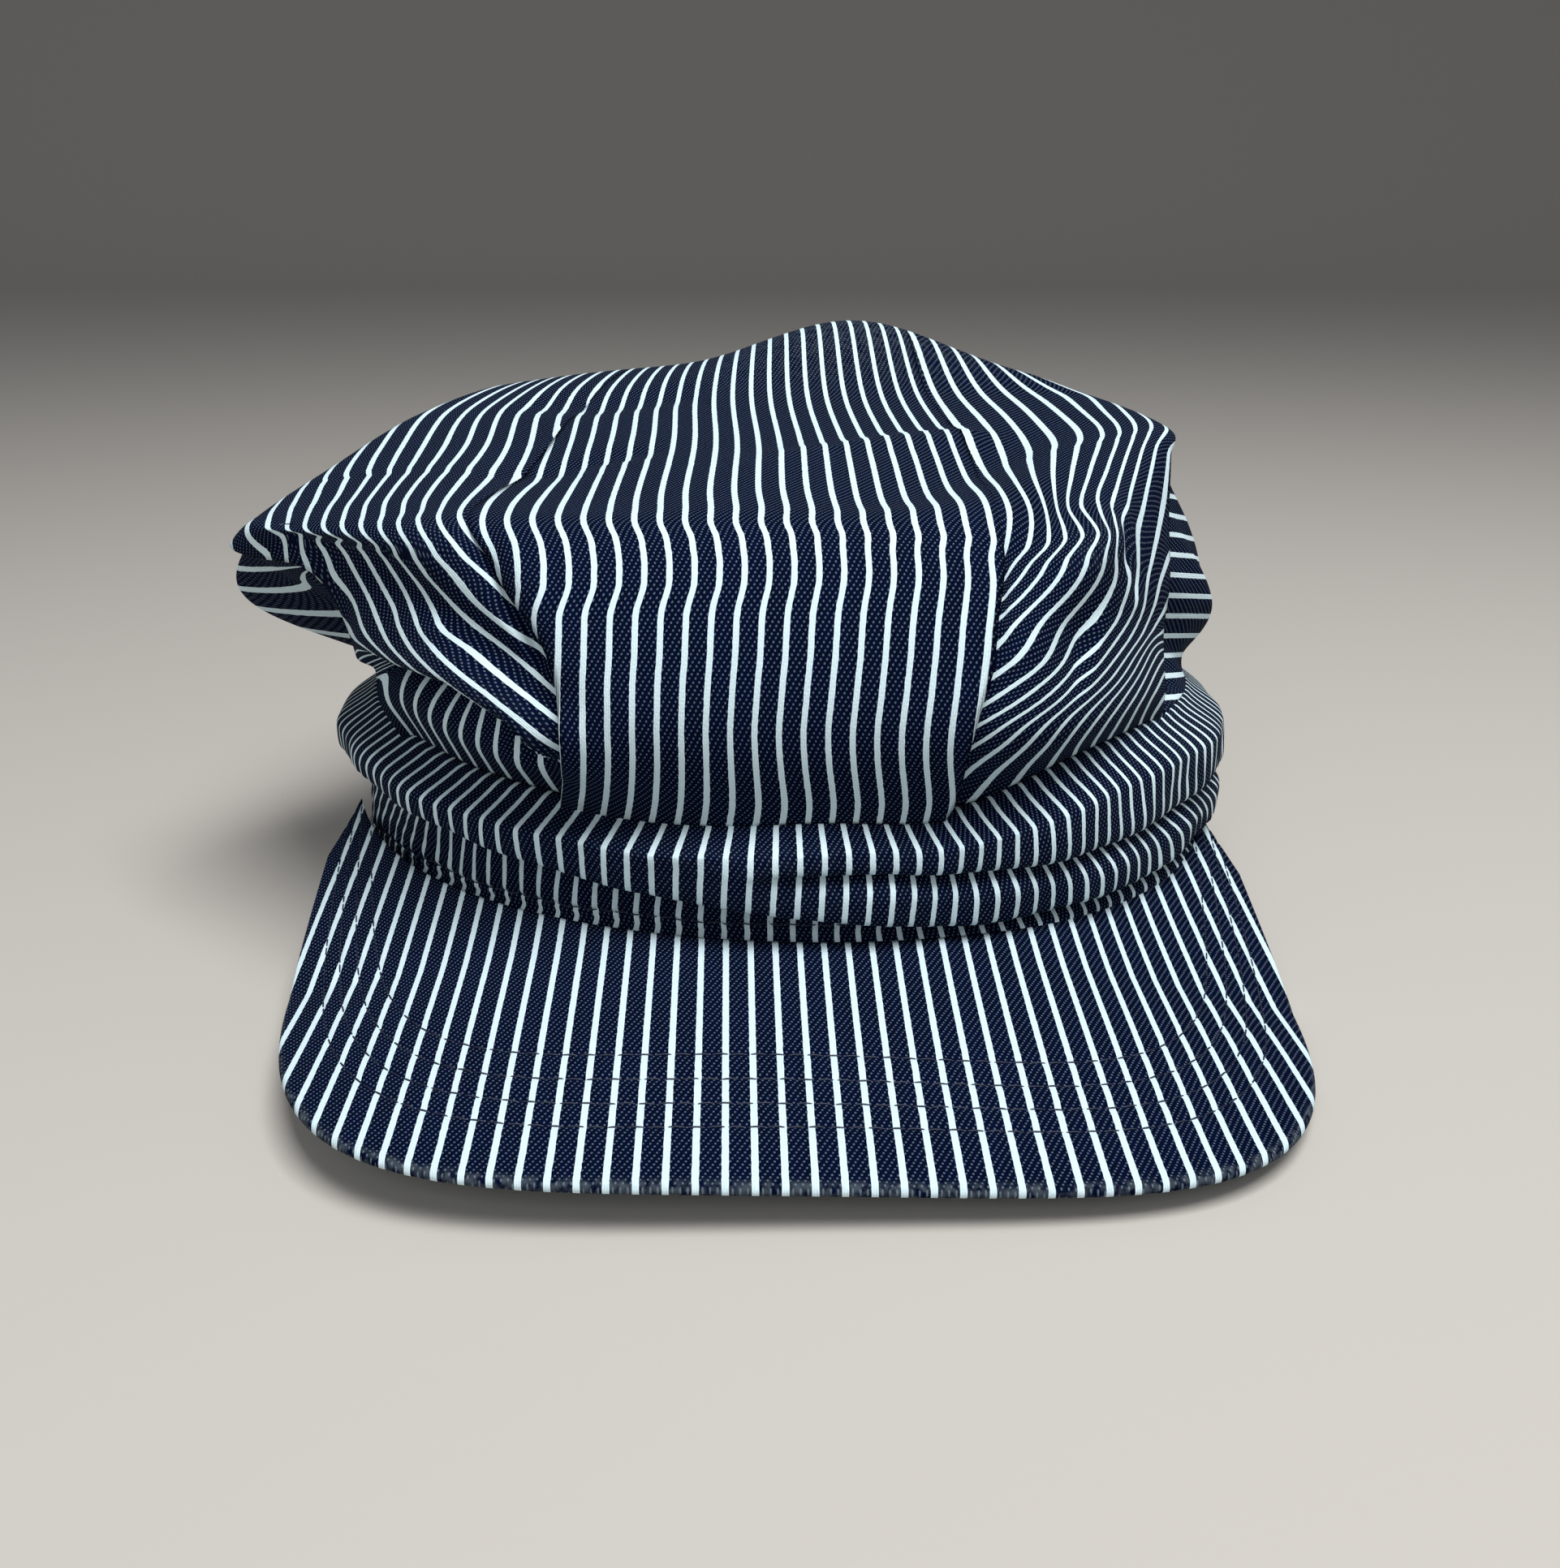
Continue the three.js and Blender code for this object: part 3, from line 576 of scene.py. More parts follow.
# Columns: angle round the band, and the white stripes there at the roll and at the visor's
# seam, counted from the middle.
band_stripes = np.array([
    [-180, -75.0, -73.0], [-90, -37.8, -36.2], [-60, -25.2, -22.6], [-45, -18.6, -17.8],
    [-30, -12.1, -11.8], [-15, -6.2, -5.7], [0, -0.04, 0.2], [15, 6.3, 6.5],
    [30, 13.4, 12.6], [45, 20.7, 19.2], [60, 27.2, 24.0], [90, 39.4, 36.6],
    [180, 76.4, 73.5],
])


def closed_cloth(name, outer, inner, across, wear, ring=0):
    """A mesh of an outside and the inside behind it, joined by strips along their edges.
    across gives the mm across the stripes, and wear the outside's and the inside's share of
    fading. ring is 1 where the last column is the first one again."""
    uv = np.stack([across, along_stripes(outer, across)], -1)
    rows, columns = across.shape[0], across.shape[1] - ring
    index = np.arange(rows * columns).reshape(rows, columns)
    index = np.concatenate([index, index[:, :ring]], 1)
    inside = index + rows * columns
    edges = [((0, slice(None)), True), ((-1, slice(None)), False)]
    if not ring:
        edges += [((slice(None), 0), False), ((slice(None), -1), True)]
    parts = [grid_quads(index, uv), grid_quads(inside, uv, turned=True)]
    for at, turned in edges:
        strip = np.stack([index[at], inside[at]])
        parts.append(grid_quads(strip, np.stack([uv[at], uv[at]]), turned))
    quads, corners = (np.concatenate([part[j] for part in parts]) for j in (0, 1))
    points = np.concatenate([skin[:, :columns].reshape(-1, 3) for skin in (outer, inner)])
    shares = [np.broadcast_to(share, across.shape)[:, :columns].ravel() for share in wear]
    return sheet_mesh(name, points, quads, corners, np.concatenate(shares))


def band_piece():
    """The outside, the inside 1.8 mm within it, and the two edges that join them. Columns
    stand half a degree apart in the front half and a degree apart behind. The stripe's
    number goes from the visor's seam to the roll by an ease over the level."""
    level = np.concatenate([np.linspace(0, 0.30, 30)[:-1], np.linspace(0.30, 1, 62)])
    angle = np.concatenate([np.arange(-180, -90.0), np.arange(-90, 90, 0.5), np.arange(90, 181.0)])
    angle, level = np.meshgrid(angle, level)
    out, droop = band_shape(angle, level)
    rim = rim_height(angle)
    z = rim + (sewn_line(angle) - rim) * level - droop - front_sag(angle) * ease((level - 0.62) / 0.38)
    outer = round_band(angle, -out, z)
    inner = round_band(angle, 1.8 - np.minimum(out, 1.2), z + droop)
    upper, lower = (glide(angle, band_stripes, j) for j in (1, 2))
    number = lower + (upper - lower) * ease((level - 0.22) / 0.5)
    zigzag = 0.30 * np.sin(np.radians(angle)) * (1 - ease((np.abs(angle) - 70) / 6))
    number = number + zigzag * ease((topstitch_level - level) / 0.05)
    wear = 0.02 * ease(out / 5) + 0.5 * np.exp(-(level / 0.012) ** 2)
    return closed_cloth("band_cloth", outer, inner, number * stripe, (wear, wear), ring=1)


band_cloth = band_piece()
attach(band_cloth, "root")
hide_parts("band")
band_cloth.data.materials.append(denim("band_denim_cloth", 0.4))

# The topstitching follows the band's own shape at its level.
seam_angle = np.linspace(-74, 74, 1200)
seam_level = np.full_like(seam_angle, topstitch_level)
seam_out, seam_droop = band_shape(seam_angle, seam_level)
seam_rim = rim_height(seam_angle)
seam_z = seam_rim + (sewn_line(seam_angle) - seam_rim) * seam_level - seam_droop
seam_line = round_band(seam_angle, -seam_out, seam_z)
seam_way = np.stack([np.sin(np.radians(seam_angle)), -np.cos(np.radians(seam_angle)), 0 * seam_angle], -1)
topstitch_thread = thread_mesh("band_topstitch", [stitched(seam_line, seam_way)])


# The crown panel: one wide cloth from the band in front, over the top and down to the band
# behind. In front a box pleat makes a flat centre panel, whose folded sides hide more and
# more cloth towards the band. The crown has slumped: it leans out as an ear on the left.

# In mm: the crown's middle, half width, depth and rise, and the panel's length on its middle.
crown_middle = -4.5
crown_half = 80.0
crown_depth = 194.0
crown_rise = 60.0
crown_run = 339.5
# Angles round the band at which the side seams end. Rows: left, right. Columns: front, back.
side_seams = np.array([[58.0, 142.0], [55.0, 140.0]])
# Sections from front to back. Columns: row, place on the depth, share of the rise, half
# widths left and right as shares of crown_half, how far the left and right side sweep back,
# how far they drop, and the share of the half width that stays straight.
crown_sections = np.array([
    [1, 0.000, 0.19, 0.93, 0.97, 0.190, 0.215, -0.050, 0.02, 0.47],
    [2, 0.004, 0.42, 0.96, 0.96, 0.185, 0.220, 0.020, 0.06, 0.45],
    [3, 0.042, 0.67, 1.06, 0.98, 0.180, 0.205, 0.080, 0.15, 0.45],
    [4, 0.085, 0.77, 1.28, 1.00, 0.190, 0.215, 0.130, 0.07, 0.45],
    [5, 0.165, 0.81, 1.29, 1.03, 0.165, 0.190, 0.145, -0.05, 0.30],
    [6, 0.370, 0.85, 1.18, 1.06, 0.045, 0.045, 0.090, -0.08, 0.20],
    [7, 0.620, 0.92, 1.02, 0.99, -0.035, -0.015, 0.040, -0.03, 0.20],
    [8, 0.780, 1.00, 0.80, 0.90, -0.090, -0.080, 0.060, 0.06, 0.15],
    [9, 0.905, 0.90, 0.78, 0.86, -0.125, -0.125, 0.130, 0.10, 0.15],
    [10, 0.985, 0.52, 0.76, 0.82, -0.150, -0.150, 0.060, 0.04, 0.15],
])


def crown_edge(angle):
    """The crown's lower edge: inside the band's outline, just above the band's top."""
    return round_band(angle, 6.0, sewn_line(angle) + 0.4 - front_sag(angle))


def crown_rows(side):
    """The eleven spans' end lines across the panel: its front edge, ten sections and its
    back edge. In a section the side falls and sweeps back by powers of its share."""
    t, left = np.abs(side), side < 0
    front, back = (np.where(left, *side_seams[:, j]) for j in (0, 1))
    rows = [crown_edge(side * front)]
    for reach, up, wide_l, wide_r, back_l, back_r, drop_l, drop_r, flat in crown_sections[:, 1:]:
        half = crown_half * np.where(left, wide_l, wide_r)
        sweep = np.maximum(t - flat, 0) / (1 - flat)
        rows.append(np.stack([
            crown_middle + np.sign(side) * half * t,
            crown_depth * (reach + np.where(left, back_l, back_r) * sweep ** 1.7),
            band_top + crown_rise * (up - np.where(left, drop_l, drop_r) * t ** 2.8)], -1))
    behind = 180 - t * (180 - back)
    rows.append(crown_edge(np.where(left, -1.0, 1.0) * behind))
    rows = [2 * rows[0] - rows[1]] + rows + [2 * rows[-1] - rows[-2]]
    return np.stack(rows)


def crown_base(side, row):
    """The panel without its folds: a cubic through each four neighbouring lines. side is -1
    at the left seam and 1 at the right seam, row 0 at the front edge and 11 at the back."""
    lines = crown_rows(side)
    place = np.clip(row, 0, 11 - 1e-9)
    first = np.floor(place).astype(int)
    s = (place - first)[..., None]
    at = np.indices(side.shape)
    a, b, c, d = (lines[(first + step, *at)] for step in range(4))
    slope_b, slope_c = (c - a) / 2, (d - b) / 2
    square = 3 * (c - b) - 2 * slope_b - slope_c
    cube = 2 * (b - c) + slope_b + slope_c
    return b + s * (slope_b + s * (square + s * cube))


def crown_normal(side, row):
    """Unit normal: the cross product of short steps along both ways."""
    right, left = np.minimum(side + 0.01, 1), np.maximum(side - 0.01, -1)
    step_side = crown_base(right, row) - crown_base(left, row)
    behind, before = np.minimum(row + 0.1, 11), np.maximum(row - 0.1, 0)
    step_row = crown_base(side, behind) - crown_base(side, before)
    normal = np.cross(step_side, step_row)
    return normal / np.linalg.norm(normal, axis=-1, keepdims=True)


# Mounds and dents. Columns: place across and along the panel, turn in degrees, then height,
# length and width as shares of crown_half.
crown_mounds = np.array([
    [0.30, 0.70, 80, 0.150, 0.42, 0.20],
    [-0.15, 0.46, 85, -0.006, 0.50, 0.22],
    [0.72, 0.30, 15, 0.040, 0.35, 0.07],
    [0.60, 0.36, 15, -0.035, 0.32, 0.08],
    [-0.62, 0.20, -30, -0.060, 0.32, 0.08],
    [-0.78, 0.09, -60, -0.050, 0.30, 0.06],
    [-0.45, 0.52, -25, -0.030, 0.40, 0.12],
    [0.45, 0.50, 40, -0.030, 0.38, 0.10],
    [0.00, 0.92, 90, -0.060, 0.70, 0.12],
])


def mound_height(side, row):
    """The soft mounds and dents: each a bell that is longer one way, turned on the cloth."""
    height = np.zeros_like(side)
    for across, along, turn, up, length, width in crown_mounds:
        x, y = (side - across) * crown_half, (row / 11 - along) * crown_run
        c, s = np.cos(np.radians(turn)), np.sin(np.radians(turn))
        lengthwise = (x * s + y * c) / (length * crown_half)
        crosswise = (x * c - y * s) / (width * crown_half)
        height += up * crown_half * np.exp(-lengthwise ** 2 - crosswise ** 2)
    return height * ease(row / 0.66) * ease((11 - row) / 0.66) * ease((1 - np.abs(side)) / 0.12)


# Creases: places along each as side and row, then height in mm, and how wide it is above
# or left of its line and below or right of it.
crown_creases = [
    ([(-1.02, 1.80), (-0.86, 1.72), (-0.72, 1.70), (-0.60, 1.45), (-0.48, 0.75)], 3.0, 7.0, 1.6),
    ([(-1.02, 1.48), (-0.86, 1.42), (-0.72, 1.42), (-0.60, 1.14), (-0.50, 0.55)], -7.0, 1.6, 6.0),
    ([(-0.500, 4.1), (-0.535, 3.2), (-0.560, 2.75), (-0.525, 2.40), (-0.500, 1.9)], -3.4, 3.0, 1.6),
    ([(-0.61, 4.4), (-0.62, 3.4), (-0.68, 2.6), (-0.72, 2.1)], 1.6, 8.0, 6.0),
    ([(0.525, 3.58), (0.575, 3.78), (0.64, 3.80), (0.705, 3.30), (0.755, 2.92), (0.82, 2.75),
      (0.90, 2.5)], 1.8, 8.0, 3.4),
    ([(0.50, 2.9), (0.58, 2.8), (0.68, 2.4), (0.76, 2.0)], -3.0, 7.0, 9.0),
    ([(0.690, 5.3), (0.735, 4.2), (0.780, 3.2), (0.845, 2.6)], 2.0, 5.5, 1.4),
    ([(0.722, 5.3), (0.767, 4.2), (0.812, 3.2), (0.875, 2.6)], -2.4, 1.4, 4.5),
    ([(-0.40, 5.15), (-0.20, 5.20), (0.02, 5.10), (0.20, 4.95)], -0.5, 5.0, 4.5),
    ([(0.12, 4.75), (0.30, 5.15), (0.50, 5.50), (0.66, 5.75)], -1.6, 3.5, 5.0),
    ([(-0.10, 5.55), (0.10, 5.85), (0.35, 6.10), (0.60, 6.20)], 1.4, 5.0, 6.0),
    ([(-0.60, 5.40), (-0.42, 5.80), (-0.20, 6.00)], -1.2, 5.0, 5.0),
    ([(-0.95, 3.9), (-0.85, 3.2), (-0.78, 2.5)], -1.2, 5.0, 5.0),
    ([(-0.70, 7.2), (-0.45, 6.9), (-0.15, 7.1)], -1.6, 7.0, 7.0),
    ([(-0.50, 9.1), (-0.20, 8.7), (0.20, 8.8), (0.50, 9.2)], -2.2, 6.0, 8.0),
    ([(-0.40, 9.9), (0.00, 9.6), (0.45, 9.9)], 1.8, 6.0, 5.0),
]


def crease_height(side, row, base):
    """All creases: a bell over the distance from each crease's line, measured in space, and
    of another width on the line's two sides. It fades over the first and last sixth."""
    height = np.zeros_like(side)
    for places, up, width_above, width_below in crown_creases:
        places = np.array(places, float)
        line = crown_base(places[:, 0], places[:, 1])
        nearest = np.full(side.shape, 1e9)
        share, above = np.zeros_like(side), np.zeros_like(side)
        for i, (start, finish) in enumerate(zip(line[:-1], line[1:])):
            way = finish - start
            t = np.clip(((base - start) @ way) / (way @ way), 0, 1)
            distance = np.linalg.norm(base - start - t[..., None] * way, axis=-1)
            d_side, d_row = places[i + 1] - places[i]
            turn = d_side * (row - places[i, 1]) - d_row * (side - places[i, 0])
            closer = distance < nearest
            nearest = np.where(closer, distance, nearest)
            share = np.where(closer, (i + t) / (len(line) - 1), share)
            above = np.where(closer, turn, above)
        width = np.where(above > 0, width_above, width_below)
        fade = ease(share / 0.17 + 0.15) * ease((1 - share) / 0.17 + 0.15)
        height += up * fade * np.exp(-(nearest / width) ** 2)
    return height * ease(row / 0.35) * ease((11 - row) / 0.35)


# Which stripe of the cloth lies where, counted from the middle. Columns: row, side of the
# pleat's folded edge, the stripe on that edge, the stripe that comes out from under it, and
# the stripes at six tenths, seven tenths and so on out to the side seam.
stripes_left = np.array([
    [0.0, -0.470, -9.9, -20.6, -22.8, -24.8, -26.8, -28.8, -30.8],
    [0.6, -0.470, -9.9, -19.8, -22.0, -24.2, -26.4, -28.5, -30.6],
    [1.2, -0.469, -9.9, -18.4, -20.4, -22.6, -25.6, -28.0, -30.2],
    [1.6, -0.468, -10.0, -17.2, -18.9, -20.2, -21.9, -23.8, -26.0],
    [2.0, -0.470, -10.3, -16.2, -17.5, -18.8, -20.3, -21.9, -23.4],
    [2.4, -0.500, -11.2, -15.4, -16.3, -17.5, -19.4, -21.2, -22.9],
    [2.8, -0.550, -12.8, -14.7, -15.6, -16.9, -18.7, -20.8, -22.5],
    [3.2, -0.535, -13.3, -14.3, -15.6, -17.5, -19.4, -21.3, -23.3],
    [3.6, -0.510, -13.5, -14.1, -16.1, -18.6, -20.9, -23.0, -25.3],
    [4.4, -0.500, -13.6, -13.85, -16.4, -19.0, -21.5, -24.0, -26.1],
    [5.0, -0.500, -13.35, -13.6, -15.8, -18.4, -21.1, -23.4, -26.0],
    [6.2, -0.490, -12.2, -12.45, -14.4, -16.6, -18.6, -20.6, -23.0],
    [7.0, -0.490, -11.0, -11.25, -12.9, -14.8, -16.9, -18.7, -20.5],
    [9.0, -0.490, -9.7, -9.95, -11.6, -13.3, -15.0, -16.7, -18.4],
    [11.0, -0.490, -8.1, -8.35, -9.8, -11.2, -12.6, -14.0, -15.4],
])
stripes_right = np.array([
    [0.0, 0.300, 5.9, 17.3, 20.4, 22.0, 23.7, 25.2, 27.0],
    [0.4, 0.362, 6.3, 16.9, 19.8, 21.5, 23.2, 24.9, 26.6],
    [0.8, 0.405, 6.6, 16.2, 19.0, 20.8, 22.6, 24.4, 26.2],
    [1.2, 0.436, 6.9, 15.1, 17.9, 19.6, 21.3, 23.2, 25.5],
    [1.6, 0.455, 7.1, 13.7, 15.7, 17.2, 18.8, 21.2, 24.0],
    [2.0, 0.470, 7.3, 12.5, 13.9, 15.1, 16.9, 18.8, 21.2],
    [2.4, 0.477, 7.3, 11.2, 13.0, 14.2, 15.7, 18.0, 20.2],
    [2.8, 0.490, 7.4, 9.3, 11.6, 13.6, 15.6, 17.9, 19.8],
    [3.2, 0.505, 7.6, 8.2, 10.5, 13.4, 16.1, 17.6, 19.3],
    [3.6, 0.495, 7.4, 7.8, 9.7, 12.9, 16.3, 17.4, 18.7],
    [4.2, 0.490, 7.4, 7.65, 9.6, 12.9, 15.4, 17.0, 18.3],
    [5.0, 0.490, 7.5, 7.75, 9.9, 12.0, 14.0, 16.1, 18.2],
    [6.2, 0.490, 7.75, 8.0, 9.4, 10.9, 12.4, 14.6, 17.0],
    [7.0, 0.490, 7.6, 7.85, 9.3, 10.7, 12.0, 13.4, 15.2],
    [9.0, 0.490, 8.1, 8.35, 9.8, 11.4, 13.0, 14.6, 16.2],
    [11.0, 0.490, 7.0, 7.25, 8.6, 9.9, 11.2, 12.4, 13.6],
])


def crown_cloth(columns, row, table, hand):
    """One hand of the panel's cloth. The columns run from the fold's edge at 1 under it and
    back out at 2, and on to the seam at 3. The hidden cloth dips in by half its width and
    comes back; outside the pleat the stripe's number is a cubic between the table's stops
    that keeps rising. Returns side, stripe number and the layer: 1 on the centre panel, a
    half on the hidden cloth and 0 outside the pleat."""
    edge, inner, emerge = (glide(row, table, j) for j in (1, 2, 3))
    hidden = np.clip(columns - 1, 0, 1)
    depth = np.abs(emerge - inner) * stripe / 2 / crown_half
    spread = 0.012 * (1 - ease(depth / 0.03))
    dip = 1 - np.abs(2 * hidden - 1)
    side = edge - hand * depth * dip + hand * spread * hidden
    number = inner + (emerge - inner) * hidden
    layer = 1 - 0.5 * ease(hidden / 0.16) - 0.5 * ease((hidden - 0.42) / 0.16)
    out = np.clip(columns - 2, 0, 1)
    start = edge + hand * spread
    beyond = columns > 2
    side = np.where(beyond, start + (hand - start) * out, side)
    tenths = [np.full_like(row, stop) for stop in (0.6, 0.7, 0.8, 0.9, 1.0)]
    stops = np.stack([start * hand] + tenths)
    counts = np.stack([glide(row, table, j) for j in range(3, 9)])
    width, rise = np.diff(stops, axis=0), np.diff(counts, axis=0)
    pace = rise / width
    between = 2 * pace[:-1] * pace[1:] / (pace[:-1] + pace[1:])
    pace = np.concatenate([pace[:1], between, pace[-1:]])
    shown = emerge
    place = np.abs(side)
    for j in range(5):
        t = np.clip((place - stops[j]) / width[j], 0, 1)
        lean = width[j] * t * (1 - t) * (pace[j] * (1 - t) - pace[j + 1] * t)
        curve = t * t * (3 - 2 * t) * rise[j] + lean
        shown = np.where(place >= stops[j], counts[j] + curve, shown)
    number = np.where(beyond, shown, number)
    return side, number, np.where(beyond, 0, layer)


curled_share = 0.08
curl_left = 4.2
curl_right = 2.6


def near_seam(side):
    """0 over the panel, and over its curled part evenly up to 1 at its side seams."""
    return np.clip((np.abs(side) - 1 + curled_share) / curled_share, 0, 1)


def seam_curl(side):
    """How far the panel rolls down at its side seams, in mm: a square over the curled part."""
    return np.where(side < 0, curl_left, curl_right) * near_seam(side) ** 2


# How far the centre panel stands out over the cloth beside it, in mm, and its share of that
# over the rows: it dies away over the crown's top.
pleat_step = 3.0
pleat_rows = np.array([[0, 1], [1, 1], [2, 0.9], [3, 0.65], [4, 0.25], [5, 0], [11, 0.0]])


def panel_half(column, row):
    """Half width of the crown in mm over the rows, from a column of its sections."""
    return crown_half * glide(row, crown_sections, column)[:, None]


def crown_inside(side, row):
    """The inside: 2 mm within the base, following its mounds and dents but not its ridges,
    and only 0.9 mm within it at the side seams."""
    base = crown_base(side, row)
    dents = mound_height(side, row) + np.minimum(crease_height(side, row, base), 0)
    depth = dents - 2.0 + 1.1 * ease(near_seam(side))
    inside = base + crown_normal(side, row) * depth[..., None]
    inside[..., 2] -= seam_curl(side)
    return inside


def crown_piece():
    """The folded cloth and its inside, which lies plainly behind the pleat. On the centre
    panel the stripe's number runs evenly with the width between its two folded edges."""
    row = np.concatenate([np.linspace(0, 5.6, 121), np.linspace(5.6, 11, 58)[1:]])
    columns = np.concatenate([np.linspace(1, 2, 17), 2 + np.linspace(0, 1, 56)[1:]])
    panel = np.linspace(0, 1, 58)[1:-1]
    side_l, number_l, layer_l = crown_cloth(*np.meshgrid(columns[::-1], row), stripes_left, -1)
    side_r, number_r, layer_r = crown_cloth(*np.meshgrid(columns, row), stripes_right, 1)
    side_p = side_l[:, -1:] + (side_r[:, :1] - side_l[:, -1:]) * panel[None, :]
    half_l, half_r = panel_half(3, row), panel_half(4, row)
    x_p = side_p * np.where(side_p < 0, half_l, half_r)
    x_first, x_last = side_l[:, -1:] * half_l, side_r[:, :1] * half_r
    first, last = number_l[:, -1:], number_r[:, :1]
    number_p = first + (last - first) * (x_p - x_first) / (x_last - x_first)
    side = np.concatenate([side_l, side_p, side_r], 1)
    number = np.concatenate([number_l, number_p, number_r], 1)
    layer = np.concatenate([layer_l, np.ones_like(side_p), layer_r], 1)
    row = np.broadcast_to(row[:, None], side.shape)
    side = np.clip(side, -1, 1)
    base, normal = crown_base(side, row), crown_normal(side, row)
    pleat_share = glide(row, pleat_rows, 1)
    height = mound_height(side, row) + crease_height(side, row, base)
    outer = base + normal * (height + pleat_step * layer * pleat_share)[..., None]
    outer[..., 2] -= seam_curl(side)
    plain = np.sort(side, axis=1)
    inner = crown_inside(plain, row)

    # The brow's crest is eased: each place moves half way to the middle of its neighbours in
    # front and behind, 90 times over. This fades out down the front, over the top and
    # towards the side seams.
    fades = ease(row - 2.3) * ease((5.8 - row) / 0.6) * ease((1 - np.abs(plain)) / 0.25)
    brow = 0.5 * fades
    for skin in (outer, inner):
        for _ in range(90):
            skin[1:-1] += brow[1:-1, :, None] * (skin[:-2] / 2 + skin[2:] / 2 - skin[1:-1])

    fold = np.exp(-((layer - 0.78) / 0.08) ** 2) * (pleat_share > 0.5)
    rubbed = np.clip(0.4 * fold + 0.015 * np.maximum(height, 0), 0, 1)
    return closed_cloth("crown_cloth", outer, inner, number * stripe, (rubbed, 0.0))


crown_cloth_piece = crown_piece()
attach(crown_cloth_piece, "root")
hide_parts("crown_panel")
crown_cloth_piece.data.materials.append(denim("crown_denim_cloth", 0.4))


# The side gussets: a strip of the cloth on either side, sewn under the crown panel's edge
# above and to the band below, with its stripes running back. On the left the ear hangs over
# it, so it folds back into a hollow; on the right it bulges.

# Columns of both forms: place on the side seam from front to back, bulge beyond a straight
# wall in mm, and the share of the way down at which it is widest.
gusset_left_form = np.array([
    [0.005, 0.0, 0.50], [0.04, -2.4, 0.50], [0.14, -9.6, 0.50], [0.25, -13.0, 0.45],
    [0.31, -12.0, 0.50], [0.36, -6.0, 0.50], [0.42, 16.0, 0.50], [0.52, 12.6, 0.50],
    [0.68, 5.6, 0.50], [0.84, 5.6, 0.50], [0.975, 0.8, 0.50], [0.995, 0.0, 0.50],
])
gusset_right_form = np.array([
    [0.005, 0.0, 0.50], [0.04, -0.8, 0.50], [0.14, -6.0, 0.50], [0.22, -6.5, 0.45],
    [0.31, 1.5, 0.55], [0.40, 10.4, 0.60], [0.54, 9.6, 0.60], [0.68, 6.4, 0.50],
    [0.84, 5.6, 0.50], [0.975, 0.8, 0.50], [0.995, 0.0, 0.50],
])


# Middle of the fan of stripes in the hollow under the ear: across, back and height.
ear_middle = np.array([-88.0, 50.0, 76.0])


def gusset_wall(hand, form, across, along, depth):
    """The wall from the panel's edge at 0 down to the band at 1. It starts level behind the
    curled edge by the depth. A bulge rises and falls as a sine's power, a hollow as an ease,
    and small sines gather the cloth."""
    front, back = side_seams[0 if hand < 0 else 1]
    angle = hand * (front + (back - front) * along)
    outward = np.stack([np.sin(np.radians(angle)), -np.cos(np.radians(angle)), 0 * angle], -1)
    side, row = np.full_like(along, hand), along * 11
    base = crown_base(side, row)
    start = base + crown_normal(side, row) * crease_height(side, row, base)[..., None] - outward * depth
    start[..., 2] += 0.4 - seam_curl(side)
    end = crown_edge(angle)
    out, peak = (glide(along, form, j) for j in (1, 2))
    bend = np.where(across < peak, across / peak, (1 - across) / (1 - peak))
    push = out * np.where(out > 0, np.sin(np.clip(bend, 0, 1) * np.pi / 2) ** 1.2, ease(bend))
    gathers = 0.3 * np.sin(along * 95 + 3 * across) + 0.35 * np.sin(along * 41 - 5 * across + 2)
    push = push + gathers * ease(across / 0.3) * ease((1 - across) / 0.2)
    return start + (end - start) * across[..., None] + outward * push[..., None]


def gusset_piece(name, hand, form, start_depth):
    """Outside and inside of one gusset, 1.5 mm apart, from start_depth mm behind the panel's
    edge. On the right its stripes slope down a little to the back. On the left they count by
    the angle round the hollow's middle, and further away from it by the angle times the
    distance, which is nearly the height."""
    along, across = np.meshgrid(np.linspace(0.005, 0.995, 260), np.linspace(1, 0, 60))
    if hand < 0:
        along = along[:, ::-1]
    outer = gusset_wall(hand, form, across, along, start_depth)
    normal = np.cross(np.gradient(outer, axis=1), np.gradient(outer, axis=0))
    normal /= np.maximum(np.linalg.norm(normal, axis=-1, keepdims=True), 1e-9)
    inner = outer - 1.5 * normal
    level = (outer[..., 2] + 0.26 * outer[..., 1]) / 1.02
    if hand < 0:
        away = np.hypot(outer[..., 0] - ear_middle[0], outer[..., 1] - ear_middle[1])
        radius = np.hypot(19, np.maximum(away - 15, 0))
        level = radius * np.arctan2(outer[..., 2] - ear_middle[2], away)
    piece = closed_cloth(name + "_cloth", outer, inner, level, (0.0, 0.0))
    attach(piece, "root")
    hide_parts(name)
    piece.data.materials.append(denim(name + "_denim", 0.4))
    return piece


gusset_left = gusset_piece("gusset_left", -1, gusset_left_form, 2.5)
gusset_right = gusset_piece("gusset_right", 1, gusset_right_form, 5.5)


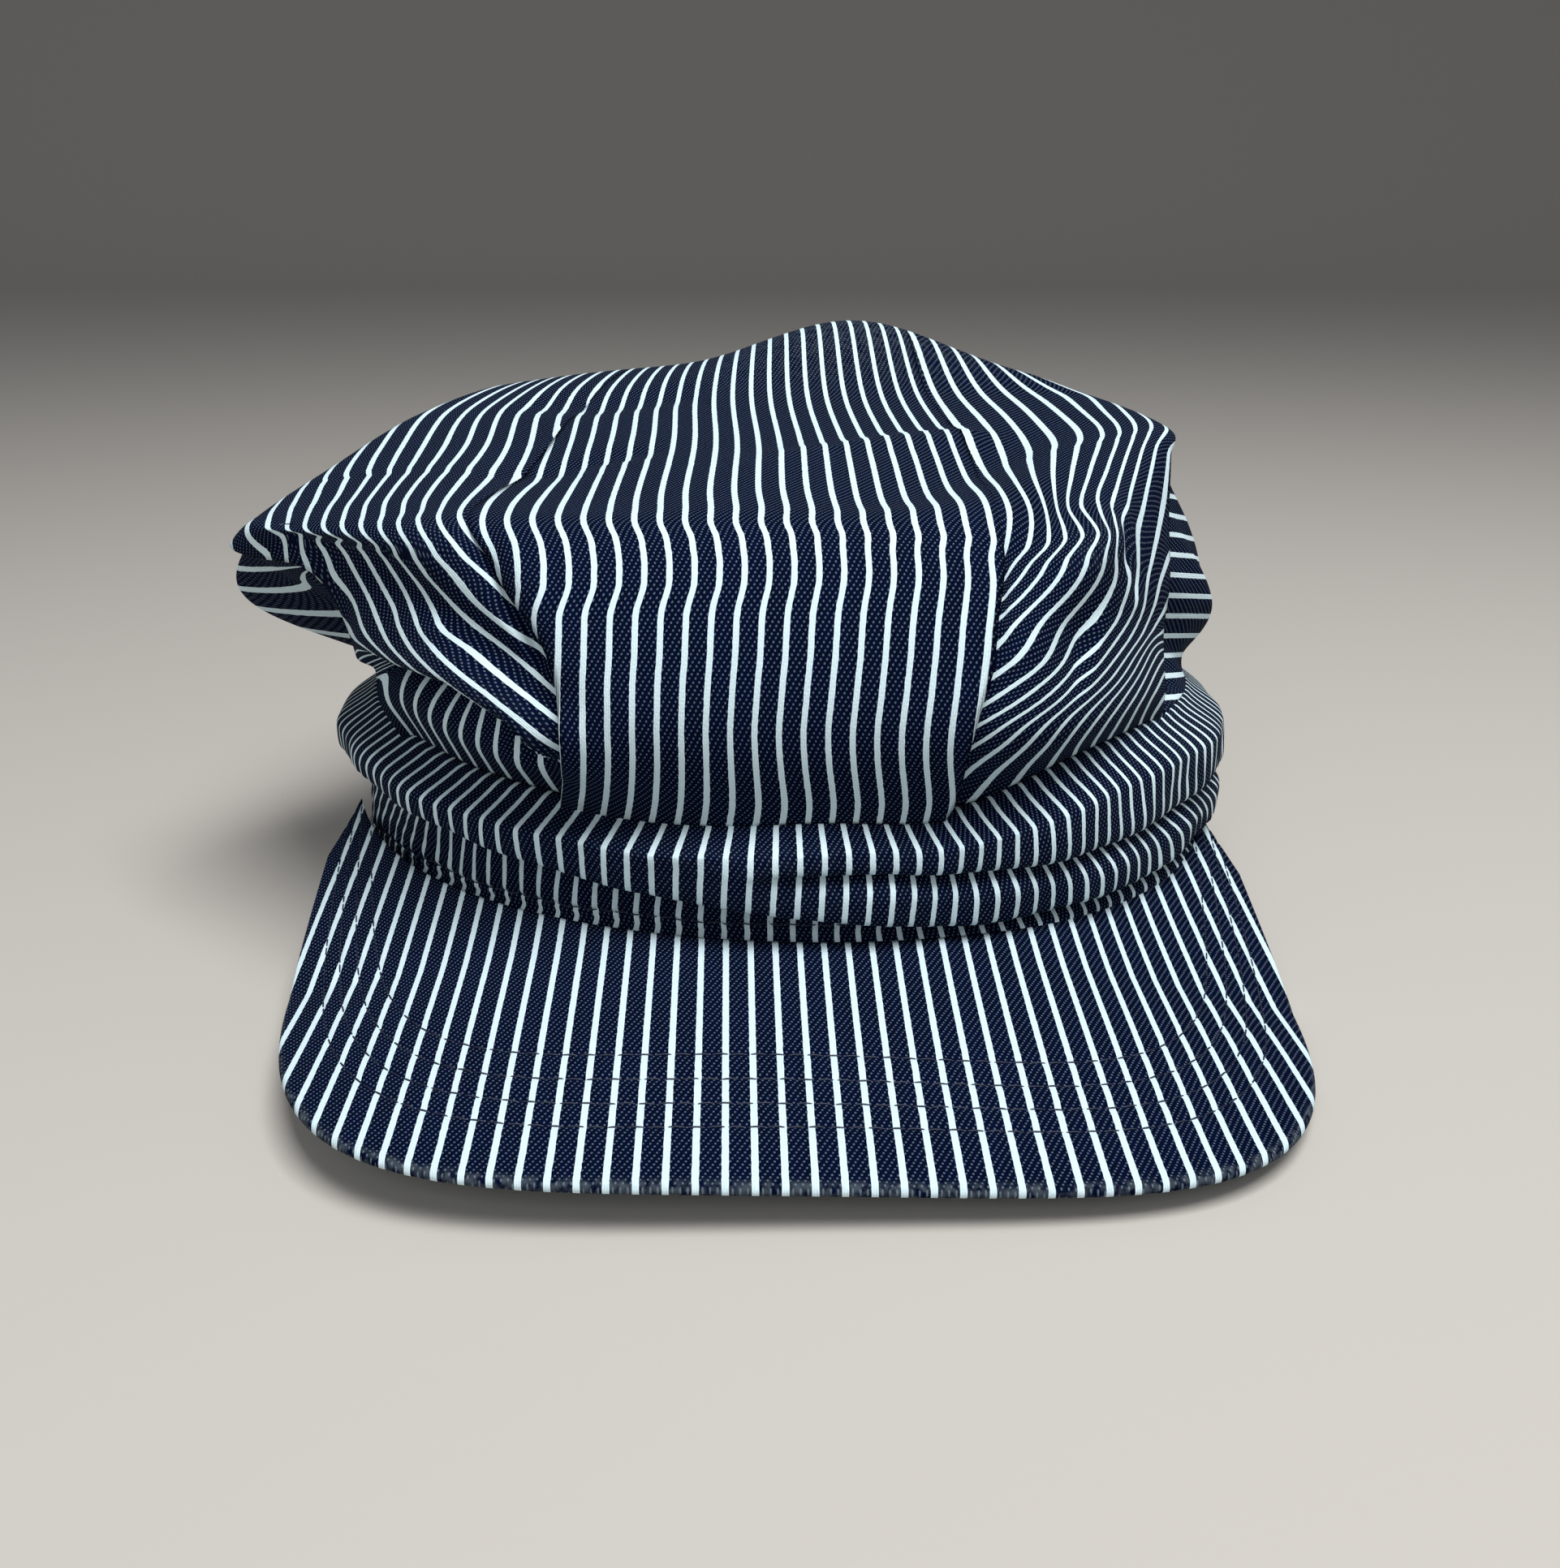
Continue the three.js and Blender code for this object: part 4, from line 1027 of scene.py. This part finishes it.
# A plain pale floor that sweeps up far behind the cap, a large soft light overhead and a
# weak one in front.
sweep = np.radians(np.linspace(0, 90, 19))
floor_y = np.concatenate([[-4.0], 3.0 + 2.0 * np.sin(sweep), [5.0]])
floor_z = np.concatenate([[0.0], 2.0 - 2.0 * np.cos(sweep), [6.0]])
floor_points = [(x, y, z) for x in (-8.0, 8.0) for y, z in zip(floor_y, floor_z)]
lines = len(floor_y)
floor_faces = [(i, lines + i, lines + i + 1, i + 1) for i in range(lines - 1)]
floor_mesh = bpy.data.meshes.new("floor")
floor_mesh.from_pydata(floor_points, [], floor_faces)
floor_mesh.polygons.foreach_set("use_smooth", np.ones(len(floor_faces), bool))
floor = placed("floor", floor_mesh)
floor_paint = bpy.data.materials.new("pale_floor")
floor_paint.use_nodes = True
floor_shader = floor_paint.node_tree.nodes["Principled BSDF"]
floor_shader.inputs["Base Color"].default_value = (0.50, 0.475, 0.44, 1)
floor_shader.inputs["Roughness"].default_value = 0.9
floor_mesh.materials.append(floor_paint)

world = bpy.data.worlds.new("studio")
world.use_nodes = True
sky = world.node_tree.nodes["Background"].inputs
sky["Color"].default_value = (0.93, 0.96, 1.0, 1)
sky["Strength"].default_value = 0.22
bpy.context.scene.world = world
for name, place, size, power in (
        ("overhead", (0.20, -0.36, 1.08), 0.60, 14.5),
        ("front_fill", (-0.30, -1.2, 0.70), 0.8, 3.6)):
    light = bpy.data.lights.new(name, "AREA")
    light.size = size
    light.energy = power
    lamp = placed(name, light)
    lamp.location = place
    lamp.rotation_mode = "QUATERNION"
    lamp.rotation_quaternion = Vector(place).to_track_quat("Z", "Y")

# The camera stands in front of the visor, a little to the left, and looks 20 degrees down.
camera_place = np.array([-10.2, -248.0, 138.0])
lens = bpy.data.cameras.new("view")
lens.lens = 35.87
lens.clip_start = 0.01
camera = placed("view", lens)
camera.location = tuple(camera_place / 1000 + cap_zero)
camera.rotation_euler = (np.radians(70.0), 0.0, np.radians(-1.63))
bpy.context.scene.camera = camera
bpy.context.scene.view_settings.view_transform = "Standard"
